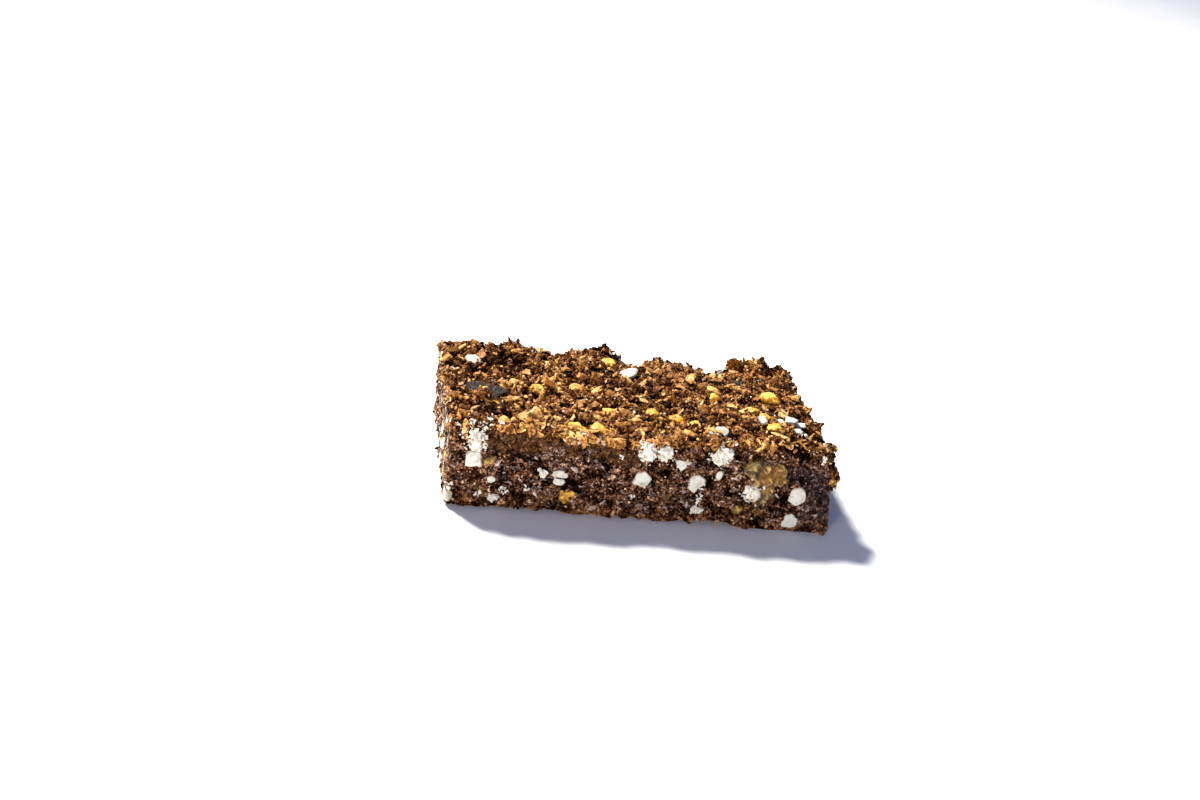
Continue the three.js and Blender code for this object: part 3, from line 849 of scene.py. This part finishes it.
def grain_places():
    """Every grain: its place, way out, sizes, turn, how far it is proud, and its kind."""
    places = []
    around = np.array([[a, b, c] for a in (-1, 0, 1) for b in (-1, 0, 1) for c in (-1, 0, 1)])

    def put(box_point, out, sizes, turn, proud, kind):
        at, own_out, _ = surface(np.array([box_point]))
        out = own_out[0] if out is None else np.array(out)
        if kind != "fluff" and abs(out[2]) < 0.5:
            near = box_point + 0.3 * sizes[0] * around * (np.abs(out) < 0.5)
            heights = surface(np.clip(near, BOX_LOW, BOX_HIGH))[0] @ out
            at = at + out * max(np.quantile(heights, 0.7) - at[0] @ out + 0.25, 0)
        places.append((at[0], out, sizes, turn, proud, kind))

    for x, z, width, height, kind in SIDE_GRAINS:
        place = on_cut_side(x, z, EDGE_RADIUS, HEIGHT - EDGE_RADIUS)
        put(place, (0, -1, 0), (width, height, 0.7 * width), 0, SIDE_PROUD, kind)
    for x, y, length, width, kind, turn in TOP_GRAINS:
        sizes = (length, width, 0.8 * width)
        put((x, y, HEIGHT), (0, 0, 1), sizes, math.radians(turn), TOP_PROUD, kind)
    for number, (wide, place) in enumerate((
        (LENGTH, lambda u, v: (u, WIDTH / 2, v)),
        (WIDTH, lambda u, v: (-LENGTH / 2, u, v)),
        (WIDTH, lambda u, v: (LENGTH / 2, u, v)),
    )):
        columns, rows = int(wide / RULED_CELL), int(HEIGHT / RULED_CELL)
        for i in range(columns):
            for j in range(rows):
                draw = [float(hashed(i, j, number, RULED_SEED + k)) for k in range(6)]
                if draw[0] > RULED_SHARE:
                    continue
                u = (i + 0.5 + RULED_JITTER * (draw[1] - 0.5)) * wide / columns - wide / 2
                v = (j + 0.5 + RULED_JITTER * (draw[2] - 0.5)) * HEIGHT / rows
                across = mix(*RULED_SIZES, draw[3])
                sizes = (across, across * mix(0.8, 1.2, draw[5]), 0.7 * across)
                kind = RULED_KINDS[len(places) % len(RULED_KINDS)]
                put(place(u, v), None, sizes, math.pi * draw[4], SIDE_PROUD, kind)
    return places


def whole_grain(level):
    """A plump three-cornered grain one unit across, blunt at one end and pointed at the other."""
    points, faces = ball(level)
    x, y, z = points.T
    angle = np.arctan2(z, y)
    corners = 1 + 0.13 * np.cos(3 * angle - 1.6)
    taper = 1 - 0.26 * x - 0.1 * x * x
    shaped = np.stack([x * 0.5, y * 0.5 * corners * taper, z * 0.5 * corners * taper], -1)
    shaped[:, 0] += 0.05 * np.maximum(x, 0) ** 6
    return shaped, faces


def cut_grain(level, kind):
    """A grain that the knife went through: flat outside, with a soft polygon for an outline."""
    points, faces = ball(level)
    x, y, z = points.T
    angle = np.arctan2(y, x)
    edges = OUTLINES[kind]
    reach = 0.5 * soft_polygon(angle, edges)
    if kind == "bitten":
        off = np.angle(np.exp(1j * (angle - math.radians(BITE[0]))))
        reach = reach * (1 - BITE[1] * np.exp(-((off / BITE[2]) ** 2)))
    reach = reach * (1 + 0.05 * noise(points * [1, 1, 0] + len(edges), 0.45, 58))
    shaped = np.stack([x * reach, y * reach, z * 0.5], -1)
    top = shaped[:, 2]
    shaped[:, 2] = np.where(top > 0.28, 0.28 + 0.15 * (top - 0.28), top)
    return shaped, faces


def rotation_for(out, turn):
    """The part's way to lie a grain on a face."""
    facing = Vector((0, 0, 1)).rotation_difference(Vector(out))
    return np.array((facing @ Quaternion((0, 0, 1), turn)).to_matrix())


def chip(points, number):
    """Breaks four shallow facets off a grain's outer side."""
    for k in range(4):
        facing = np.array([hashed(number, k, 7, 5) - 0.5, hashed(number, k, 8, 5) - 0.5, 0.8])
        facing /= np.linalg.norm(facing)
        beyond = np.maximum(points @ facing - 0.25 - 0.08 * hashed(number, k, 9, 5), 0)
        points = points - 0.5 * beyond[:, None] * facing
    return points


def white_tints(points, number, coated_else_painted_bright):
    """Pale flesh with a faint ring in it, and brown where seed coat is left at the rim; grains
    without coat get a much paler base, as painted light on their shaded sides.
    """
    far = np.hypot(points[:, 0], points[:, 1]) * 2
    ring = 0.3 * hashed(number, 1, 3, 5) * np.exp(-(((far - 0.55) / 0.12) ** 2))
    part = 0.3 + 0.7 * smooth(0.5 + 1.2 * noise(points + number, 1.1, 78))
    coat = (0.6 + 0.4 * hashed(number, 3, 3, 5)) * smooth((far - 0.75) * 4) * part * coated_else_painted_bright
    # The paler base of grains without coat is painted light.
    return (0.42 if coated_else_painted_bright else 0.9) - ring - coat + 0.35 * noise(points + number, 0.35, 77)


def make_grains(places):
    """The whole and cut grains, one piece for each kind of colour."""
    shown = len(SIDE_GRAINS) + len(TOP_GRAINS)
    heaps = {}

    def add(number, colour, shape, at, out, sizes, turn, proud, chipped=False, coated_else_painted_bright=True):
        points, faces = shape
        spread = points * 2 + 5 * number
        bumps = noise(spread, 0.5, 71 + number) + 0.6 * noise(spread, 0.22, 72 + number)
        rough = 0.1 if colour == "white" else 0.26 if abs(out[2]) < 0.5 else 0.16
        own = points * (1 + rough * bumps[:, None])
        if chipped:
            own = chip(own, number)
        placed = (own * sizes) @ rotation_for(out, turn).T + at - out * sizes[2] * (0.5 - proud)
        if colour == "white":
            tints = white_tints(points, number, coated_else_painted_bright)
        else:
            far = np.hypot(points[:, 0], points[:, 1]) * 2
            # Painted light and shade: paler on the outer side and on the bumps, darker in the dips
            # and towards the rim.
            tints = 0.35 * points[:, 2] - 0.15 * far + 0.3 * (hashed(number, 2, 2, 5) - 0.5)
            tints += 0.35 * bumps
        heaps.setdefault(colour, Heap()).add_one(placed, faces, tints)

    for number, (at, out, sizes, turn, proud, kind) in enumerate(places):
        level = 4 if number < shown else 3
        if kind == "split":
            up = rotation_for(out, turn)[:, 1] * sizes[1]
            for part, shift, scale in SPLIT_PARTS:
                place, own_sizes = at + up * shift, np.array(sizes) * scale
                shape = cut_grain(level, part)
                add(number, "white", shape, place, out, own_sizes, turn, proud, True)
        elif kind in OUTLINES:
            shape = cut_grain(level, kind)
            add(number, "white", shape, at, out, sizes, turn, proud, kind == "wedge")
        elif kind == "white":
            large = sizes[0] > LARGE_WHITE
            outline = "oval" if large else ("block", "heart")[number % 2]
            sizes = (1.1 * sizes[0], 1.1 * sizes[1], (0.45 if large else 0.7) * sizes[1])
            tipped = out + 0.5 * np.array([hashed(number, 4, k, 5) - 0.5 for k in range(3)])
            tipped += (-0.3, -0.1, 0) if large else (0, -0.12, 0)
            tipped /= np.linalg.norm(tipped)
            add(number, "white", cut_grain(level, outline), at, tipped, sizes, turn, 0.8)
        elif kind == "pair":
            along = rotation_for(out, turn)[:, 0] * sizes[0]
            for n, (shift, scale) in enumerate(((-0.28, 0.68), (0.26, 0.6))):
                shape = crumb_shape(4, 0.9, 0.8, 8, 0.06)
                own_sizes = sizes[0] * scale * np.array([1.1, 1.1, 0.75])
                place, own = at + along * shift, number + 90 * n
                # The pair chunks are painted paler, as painted light on their shaded fronts.
                add(own, "white", shape, place, out, own_sizes, turn + n, 0.8, coated_else_painted_bright=False)
        elif kind != "fluff":
            whole = proud == TOP_PROUD
            shape = whole_grain(level) if whole else cut_grain(level, "ragged")
            add(number, kind, shape, at, out, sizes, turn, proud, kind == "amber" and not whole)

    for colour, heap in heaps.items():
        heap.piece(f"grains_{colour}", colour)


def fruit_reach(points, name):
    """How far out each point is in a fruit piece's bared face, where 1 is the ragged rim of it."""
    a, b = points[:, [0, 2 if FRUIT[name][2] == "side" else 1]].T
    each = (np.hypot((a - pa) / ra, (b - pb) / rb) for pa, pb, ra, rb in BARED[name])
    reach = sum(far**-5.0 for far in each) ** -0.2
    seed = FRUIT[name][3]
    return reach + 0.26 * noise(points, 2.2, seed + 3) + 0.2 * noise(points, 0.9, seed + 4)


FRUIT_STRAYS = {"side": 0, "top": 0.3}  # share of small crumbs that lie on the fruit in each face


def clear_of(at, sizes, places, margin=0.46):
    """Which of the crumbs leave the grains and the fruit showing."""
    keep = np.ones(len(at), bool)
    for centre, _, grain_sizes, _, _, kind in places:
        if kind not in ("fluff", "pair"):
            far = np.linalg.norm(at - centre, axis=1)
            keep &= far > margin * (grain_sizes[0] + grain_sizes[1]) / 2 + 0.35 * sizes
    for name, (_, half, face, _) in FRUIT.items():
        on_face = at[:, 2] > HEIGHT / 2 if face == "top" else at[:, 1] < 0
        strays = (sizes < 0.8) & (rng.random(len(at)) < FRUIT_STRAYS[face])
        keep &= (fruit_reach(at, name) > 0.93 + 0.25 * sizes / half[0]) | ~on_face | strays
    return keep


# --- Crumbs, flakes and coconut ---

def crumb_shape(level, width, thick, cuts, rough):
    """A broken crumb about one unit long: a ball cut by planes, roughened and squeezed."""
    points, faces = ball(level)
    for way in rng.normal(size=(cuts, 3)):
        way /= np.linalg.norm(way)
        beyond = points @ way - rng.uniform(0.3, 0.7)
        points = points - np.maximum(beyond, 0)[:, None] * way
    start = rng.uniform(0, 50)
    bumps = noise(points * 2 + start, 1, 3) + 0.6 * noise(points * 4.4 + start, 1, 4)
    points = points * (1 + rough * bumps[:, None])
    points = points * [1, width, thick]
    points[:, 2] += 0.4 * (points[:, 0] ** 2 - 0.3) * rng.uniform(-1, 1)
    return points / np.ptp(points[:, 0]), faces


def shapes_of(count, level, widths, thicks, cuts, rough):
    return [
        crumb_shape(level, rng.uniform(*widths), rng.uniform(*thicks), cuts, rough)
        for _ in range(count)
    ]


def strew(heap, shapes, box_points, sizes, sink, tints, places, tip=None, skew=1.6):
    """Crumbs on the surface at these places of the box, most of them small, by the power skew.

    They are fewer in the pits, and painted darker there and paler on the clods, as painted shade.
    They lie anyhow, or tipped by about tip from lying flat.
    """
    at, out, crumbs = surface(box_points)
    lengths = sizes[0] + (sizes[1] - sizes[0]) * rng.random(len(at)) ** skew
    pit = hollowness(crumbs)
    # Painted shade: crumbs darker in the pits and paler on the clods.
    shade = tints[0] + (tints[1] - tints[0]) * rng.random(len(at)) ** 1.5 - 0.3 * (pit - 0.3)
    dark = dark_share(at)
    shade = shade + 0.16 * noise(at, 7, 93) + 0.1 * noise(at, 3, 94) - 0.3 * dark
    turned = random_turns(len(at)) if tip is None else frames_on(out, tip)
    at = at - out * (sink * lengths)[:, None]
    hollow = cavities(box_points) * (1 - out[:, 2] ** 2)
    smeared = np.maximum(1.3 * paste_share(at, PASTE + DATE_PASTE), hollow)
    keep = clear_of(at, lengths, places) & (smeared < rng.random(len(at)))
    keep &= rng.random(len(at)) > 0.75 * np.maximum(pit, dark)
    heap.add(shapes, at[keep], turned[keep], lengths[keep], shade[keep])


def make_crumbs(places):
    """Crumbs and flakes on the top and in the sides, and then what lies among them."""
    lumps = shapes_of(10, 3, (0.6, 0.9), (0.45, 0.75), 7, 0.42)
    flakes = shapes_of(12, 3, (0.35, 0.7), (0.14, 0.28), 5, 0.42)
    chips = shapes_of(14, 2, (0.3, 0.7), (0.16, 0.35), 4, 0.35)
    medium = shapes_of(14, 2, (0.5, 0.9), (0.35, 0.75), 5, 0.4)
    small = shapes_of(6, 1, (0.6, 0.9), (0.5, 0.8), 3, 0.2)

    heap = Heap()
    strew(heap, lumps, on_top(4.4), (1.6, 3.8), 0.1, (0.05, 0.6), places)
    strew(heap, flakes, on_top(4.7), (2.4, 5.0), -0.08, (0.2, 0.85), places, tip=0.7)
    heap.piece("crumbs_large", "crumb")

    heap = Heap()
    strew(heap, chips, on_top(1.85), (1.0, 3.4), -0.05, (0.1, 0.85), places, tip=0.8)
    strew(heap, chips, along_top_edge(-38, 2, 150), (1.0, 4.2), 0.05, (0.35, 0.95), places, tip=0.4)
    strew(heap, chips, along_top_edge(2, 50, 130), (0.8, 2.6), 0.05, (0.15, 0.85), places, tip=0.6)
    corner = [rng.uniform(35, 49, 70), rng.uniform(-27, -19, 70), np.full(70, HEIGHT)]
    strew(heap, chips, np.stack(corner, -1), (1.0, 3.0), -0.15, (0.4, 0.95), places, tip=0.5)
    for n, (x, y, length, width, turn) in enumerate(LONG_FLAKES):
        at, out, _ = surface(np.array([[x, y, HEIGHT]]))
        points, faces = flakes[n % len(flakes)]
        narrow = points * [1, width / length / np.ptp(points[:, 1]), 0.8]
        tilted = (0.1 * rng.normal(), 0.1 * rng.normal() - 0.15, 1)
        turned = rotation_for(tilted, math.radians(turn))
        tint = rng.uniform(0.6, 0.9, 1)
        heap.add([(narrow, faces)], at + 0.8 * out, turned[None], np.array([length]), tint)
    heap.piece("flakes", "crumb", shade_smooth=False)

    heap = Heap()
    strew(heap, medium, on_top(2.2), (0.8, 2.1), 0.0, (0.0, 0.85), places)
    strew(heap, medium, round_sides(1.8, 0.9, 0.88, 1.0), (0.7, 1.8), 0.15, (0.05, 0.75), places)
    heap.piece("crumbs_medium", "crumb", shade_smooth=False)

    heap = Heap()
    strew(heap, medium, round_sides(2.2, 0.7), (0.6, 2.2), 0.15, (-0.05, 0.75), places)
    strew(heap, medium, round_sides(1.6, 0.9, 0.0, 0.12), (0.8, 2.6), 0.0, (0.0, 0.75), places)
    strew(heap, small, round_sides(1.15, 0.9), (0.3, 1.0), 0.0, (-0.1, 0.95), places)
    heap.piece("crumbs_cut", "side", shade_smooth=False)

    heap = Heap()
    strew(heap, small, on_top(1.18), (0.35, 1.0), -0.2, (-0.05, 0.95), places)
    heap.piece("crumbs_small", "crumb", shade_smooth=False)

    make_clumps(medium, chips)
    make_coconut(places)


def along_top_edge(low, high, count):
    """Places along a stretch of the upper edge of the cut side."""
    y = 1.6 * rng.random(count) - WIDTH / 2
    return np.stack([rng.uniform(low, high, count), y, np.full(count, HEIGHT)], -1)


def make_clumps(crumbs, chips):
    """The crumbs that stick out at the right end, and those that stand up along the back edge."""
    heap = Heap()
    for y, z, width, height in END_CRUMBS:
        count = int(6 * width * height)
        across = y + 0.36 * width * rng.normal(size=count).clip(-1.5, 1.5)
        up = z + 0.36 * height * rng.normal(size=count).clip(-1.5, 1.5)
        box_z = up / top_height(LENGTH / 2, y) * HEIGHT
        near = np.stack([np.full(count, LENGTH / 2), across, box_z], -1)
        at, _, _ = surface(np.clip(near, BOX_LOW, BOX_HIGH))
        far = np.hypot((at[:, 1] - y) / width, (at[:, 2] - z) / height)
        push = 2.7 * rng.random(count) * (1 - 1.3 * far * far).clip(0, 1)
        at = at + [1, 0, 0] * push[:, None]
        turned, lengths = random_turns(count), rng.uniform(0.7, 1.9, count)
        heap.add(crumbs, at, turned, lengths, rng.uniform(-0.05, 0.8, count))
    for x, y, length in STANDING:
        at, _, _ = surface(np.array([[x, y, HEIGHT]]))
        up = Vector((0.3 * rng.normal(), 0.3 * rng.normal(), 1))
        lean = np.array([Vector((1, 0, 0)).rotation_difference(up).to_matrix()])
        heap.add(chips[:1], at + [0, 0, 0.2 * length], lean, np.array([length]), np.array([0.3]))
        near = at + rng.normal(0, 0.5, (5, 3))
        heap.add(crumbs, near, random_turns(5), rng.uniform(0.8, 1.8, 5), rng.uniform(0.1, 0.5, 5))
    heap.piece("clumps", "crumb", shade_smooth=False)


STREAKS = 330
TUFT_LUMPS = 6
TUFT_BUMPS = ((0.7, 0.35), (0.3, 0.25), (0.14, 0.15))  # size and height of each layer


def cluster(heap, shapes, spot, size, count, lengths, reach=1.0, lift=0.0, feathery=False):
    """Bits in an oval heap round a spot: its place, way out and turn. Feathery ones point away."""
    at, out, turn = spot
    angle = rng.uniform(0, 2 * math.pi, count)
    far = 0.5 * reach * np.sqrt(rng.uniform(0.55 if feathery else 0, 1, count))
    high = lift * rng.random(count) * np.sqrt(np.maximum(1.1 - (2 * far) ** 2, 0))
    across = np.stack([far * np.cos(angle) * size[0], far * np.sin(angle) * size[1], high], -1)
    turned = rotation_for(out, turn)
    tipped = frames_on(np.repeat(out[None], count, 0), 0.35)
    if feathery:
        along = (across * [1, 1, 0] + rng.normal(0, 1.5, (count, 3))) @ turned.T
        along /= np.linalg.norm(along, axis=1, keepdims=True)
        beside = np.cross(tipped[..., 2], along)
        tipped = np.stack([along, beside, np.cross(along, beside)], -1)
    lengths, tints = rng.uniform(*lengths, count), rng.uniform(0.55, 1, count)
    heap.add(shapes, at + across @ turned.T, tipped, lengths, tints)


def make_tuft(heap, spot, width, height, bits, threads):
    """A few lumps, with chips on them and round them, and threads at the rim."""
    at, out, turn = spot
    turned = rotation_for(out, turn)
    for _ in range(TUFT_LUMPS):
        points, faces = ball(3)
        start = rng.uniform(0, 9)
        bumps = sum(share * noise(points + start, size, 6) for size, share in TUFT_BUMPS)
        half = rng.uniform(0.2, 0.34, 3) * [width, height, 0.8 * width]
        shift = rng.uniform(-0.24, 0.24, 3) * [width, height, 0.1]
        lump = points * (1 + bumps[:, None]) * half + shift
        # Painted shade: the tint follows the bumps, browner in the hollows.
        heap.add_one(lump @ turned.T + at + 0.1 * out, faces, 0.6 + 1.5 * bumps)
    size, area = (width, height), width * height
    cluster(heap, bits, spot, size, int(2.6 * area), (0.4, 1.3), 1.0, 0.22 * width)
    cluster(heap, bits, spot, size, int(area), (0.3, 0.8), 1.6, 0.04 * width)
    cluster(heap, threads, spot, size, int(1.6 * area), (0.4, 1.2), 1.05, 0.15 * width, True)


def make_coconut(places):
    """Tufts of grated coconut, loose white crumbs, and what is pressed flat into the cut sides."""
    bits = shapes_of(8, 2, (0.35, 0.8), (0.3, 0.6), 4, 0.4)
    threads = shapes_of(8, 1, (0.12, 0.3), (0.1, 0.18), 2, 0.3)
    blots = shapes_of(12, 2, (0.2, 0.6), (0.15, 0.25), 5, 0.5)
    slivers = shapes_of(8, 2, (0.1, 0.3), (0.08, 0.16), 4, 0.4)

    heap = Heap()
    for at, out, (width, height, _), turn, _, kind in places:
        if kind == "fluff":
            make_tuft(heap, (at, out, turn), width, height, bits, threads)
    for x, z, width, height, count in WHITE_BITS:
        at, _, _ = surface(on_cut_side(x, z, high=HEIGHT - 0.5)[None])
        out = np.array([0.0, -1.0, 0.0])
        spot = (at[0] + 0.1 * out, out, 0)
        cluster(heap, bits, spot, (width, height), count, (0.35, 1.1), lift=0.15)
    for x, y, reach_x, reach_y, count in WHITE_CRUMBS:
        near = [x, y, HEIGHT] + np.array([reach_x, reach_y, 0]) * rng.uniform(-1, 1, (count, 3))
        at, out, _ = surface(np.clip(near, BOX_LOW, BOX_HIGH))
        lengths = 0.4 + 1.5 * rng.random(count) ** 2
        heap.add(bits, at + 0.12 * out, frames_on(out, 0.5), lengths, rng.uniform(0.4, 1, count))
    for x, y, size in WHITE_CHIPS:
        at, out, _ = surface(np.array([[x, y, HEIGHT]]))
        turned = frames_on(out, 0.4)
        heap.add(bits[:1], at + 0.25 * size * out, turned, np.array([size]), np.array([0.95]))
    at, out, _ = surface(on_top(9))
    turned, count = random_turns(len(at)), len(at)
    heap.add(bits, at + 0.4 * out, turned, rng.uniform(0.4, 1.1, count), rng.uniform(0.3, 1, count))
    heap.piece("coconut_tufts", "coconut", shade_smooth=False)

    make_smears(blots, places)
    make_streaks(slivers)


def make_smears(blots, places):
    """Flecks of coconut pressed into the sides, and the larger smears of coconut and of fruit."""
    flecks, tans = Heap(), Heap()
    spots = round_sides(1.9, 0.85)
    spots = spots[noise(spots, 5, 91) + 0.25 * rng.normal(size=len(spots)) > -0.1]
    strew(flecks, blots, spots, (0.5, 2.6), 0.0, (0.0, 1.0), places, tip=0.2, skew=2)
    for heap, zones, tints in ((flecks, SMEARS, (0.1, 0.8)), (tans, TAN_SMEARS, (-0.45, 0.1))):
        for x, z, length, height in zones:
            count = int(4 * length * height)
            near = on_cut_side(x, z) + rng.normal(0, 0.3, (count, 3)) * [length, 0, height]
            at, out, _ = surface(np.clip(near, BOX_LOW, BOX_HIGH - [0, 0, 0.5]))
            shades, turned = rng.uniform(*tints, count), frames_on(out, 0.3)
            heap.add(blots, at + 0.04 * out, turned, 0.4 + 1.2 * rng.random(count) ** 1.5, shades)
    tans.piece("fruit_smears", "olive")
    flecks.piece("coconut_flecks", "fleck")


def make_streaks(slivers):
    """Upright slivers of coconut that the knife dragged along the left end, most in front."""
    heap = Heap()
    count = STREAKS
    near = np.stack([
        np.full(count, -LENGTH / 2),
        WIDTH * (rng.random(count) ** 1.3) - WIDTH / 2,
        HEIGHT * rng.random(count),
    ], -1)
    at, out, _ = surface(near)
    upright = np.stack([
        np.stack([rng.normal(0, 0.05, count), rng.normal(0, 0.2, count), np.ones(count)], -1),
        np.tile([0.0, 1.0, 0.0], (count, 1)), out,
    ], -1)
    lengths, tints = 1 + 3.2 * rng.random(count) ** 2, 0.1 + 0.9 * rng.random(count)
    heap.add(slivers, at - 0.12 * out, upright, lengths, tints)
    heap.piece("coconut_streaks", "streak")


# --- Fruit ---

def crease_share(points):
    """How deep each point lies in the fold of the side fruit, from 0 to 1: it sinks the fold and
    sets its painted shade.
    """
    start, end, half_width = CREASE
    across = points[:, [0, 2]] - start
    way = np.subtract(end, start)
    along = np.clip(across @ way / (way @ way), 0, 1)
    far = np.linalg.norm(across - along[:, None] * way, axis=1) + 0.35 * noise(points, 1.2, 57)
    return np.exp(-((far / half_width) ** 2)) * smooth(4 - 4 * along)


def make_fruit(name):
    """A piece of fruit of the part's own form, finer, cut off by the slice's face."""
    centre, half, face, seed = FRUIT[name]
    centre, half = np.array(centre, float), np.array(half, float)
    points, faces = ball(6 if face == "side" else 5)
    lump = noise(points * half, FRUIT_LUMPS, seed)[:, None]
    shaped = points * half * (1 + FRUIT_LUMP_HEIGHT * lump) + centre
    wrinkle = 0.16 * noise(shaped, 1.3, seed + 1) + 0.08 * noise(shaped, 0.6, seed + 2)
    sunk_rim = 1.5 * smooth((fruit_reach(shaped, name) - 0.9) * 5)
    if face == "side":
        cut = SIDE_LEVEL / 2 - WIDTH / 2
        beyond = shaped[:, 1] < cut
        creased = (1 - np.abs(noise(shaped * [1.2, 1, 0.7], 2.4, seed + 6))) ** 8
        along, across = (shaped[:, [0, 2]] @ [[0.3, 1.3], [-0.4, 1.1]]).T
        strands = np.stack([along, np.zeros_like(along), across], -1)
        fibres = noise(strands, 1, seed + 5) + 0.6 * noise(strands * 2.3, 1, seed + 7)
        # The fibres' crests are raised in the flesh, and a highlight is painted on them.
        crest = smooth(1.5 * fibres) * smooth(1 - 2 * creased)
        # The fold is sunk into the flesh, and shade is painted into it.
        folded = np.maximum(crease_share(shaped), 0.8 * creased)
        shaped[beyond, 1] = cut + (1.8 * wrinkle + 0.9 * folded - 0.4 * crest + sunk_rim)[beyond]
    else:
        cut = surface(np.array([[centre[0], centre[1], HEIGHT]]))[0][0, 2]
        beyond = shaped[:, 2] > cut
        folded = crest = np.zeros(len(shaped))
        shaped[beyond, 2] = cut + (2.2 * wrinkle - sunk_rim)[beyond]
    slot, material = ("fruit_flesh", "fruit") if face == "side" else ("date_skin", "date")
    piece = mesh_piece(
        name + "_finish", shaped, faces, slot, MATERIALS[material],
        rim=smooth((fruit_reach(shaped, name) - 0.88) * 6), crease=folded, crest=crest,
        right=smooth((shaped[:, 0] - 27) / 3.5) * smooth((shaped[:, 2] - 8.5) / 4),
    )
    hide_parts(name)


# --- Floor, light and camera ---

def make_floor():
    reach, z = FLOOR_REACH, FLOOR_HEIGHT
    corners = [(-reach, -reach, z), (reach, -reach, z), (reach, reach, z), (-reach, reach, z)]
    mesh = bpy.data.meshes.new("floor")
    mesh.from_pydata([Vector(corner) * MM for corner in corners], [], [(0, 1, 2, 3)])
    m = Finish("floor_white", Roughness=0.9, Specular_IOR_Level=0.2)
    m.set("Base Color", m.ramp(m.noise(60), (0.3, 244, 244, 247), (0.7, 250, 250, 252)))
    mesh.materials.append(m.material)
    floor = new_object("floor", mesh)


def make_lights():
    world = bpy.data.worlds.new("studio")
    bpy.context.scene.world = world
    world.use_nodes = True
    background = world.node_tree.nodes["Background"]
    background.inputs["Color"].default_value = SKY
    background.inputs["Strength"].default_value = SKY_STRENGTH
    for name, place, size, power, colour in LIGHTS:
        data = bpy.data.lights.new(name, "AREA")
        data.shape, data.size, data.energy, data.color = "DISK", size, power, colour
        light = new_object(name, data)
        light.location = place
        light.rotation_mode = "QUATERNION"
        light.rotation_quaternion = (LIT_POINT - Vector(place)).to_track_quat("-Z", "Y")
    bpy.context.scene.view_settings.view_transform = "Standard"


def make_camera():
    azimuth, elevation, roll = (math.radians(a) for a in (AZIMUTH, ELEVATION, ROLL))
    forward = Vector((
        math.sin(azimuth) * math.cos(elevation),
        math.cos(azimuth) * math.cos(elevation),
        -math.sin(elevation),
    ))
    level = Vector((math.cos(azimuth), -math.sin(azimuth), 0))
    right = level * math.cos(roll) + level.cross(forward) * math.sin(roll)
    up = right.cross(forward)
    data = bpy.data.cameras.new("camera")
    data.lens, data.sensor_width = LENS, SENSOR
    data.clip_start, data.clip_end = 0.02, 50
    camera = new_object("camera", data)
    turned = Matrix((right, up, -forward)).transposed().to_4x4()
    camera.matrix_world = Matrix.Translation((Vector(AIM) - forward * DISTANCE) * MM) @ turned
    bpy.context.scene.camera = camera


make_core()
grains = grain_places()
make_grains(grains)
make_crumbs(grains)
for each in FRUIT:
    make_fruit(each)
make_floor()
make_lights()
make_camera()
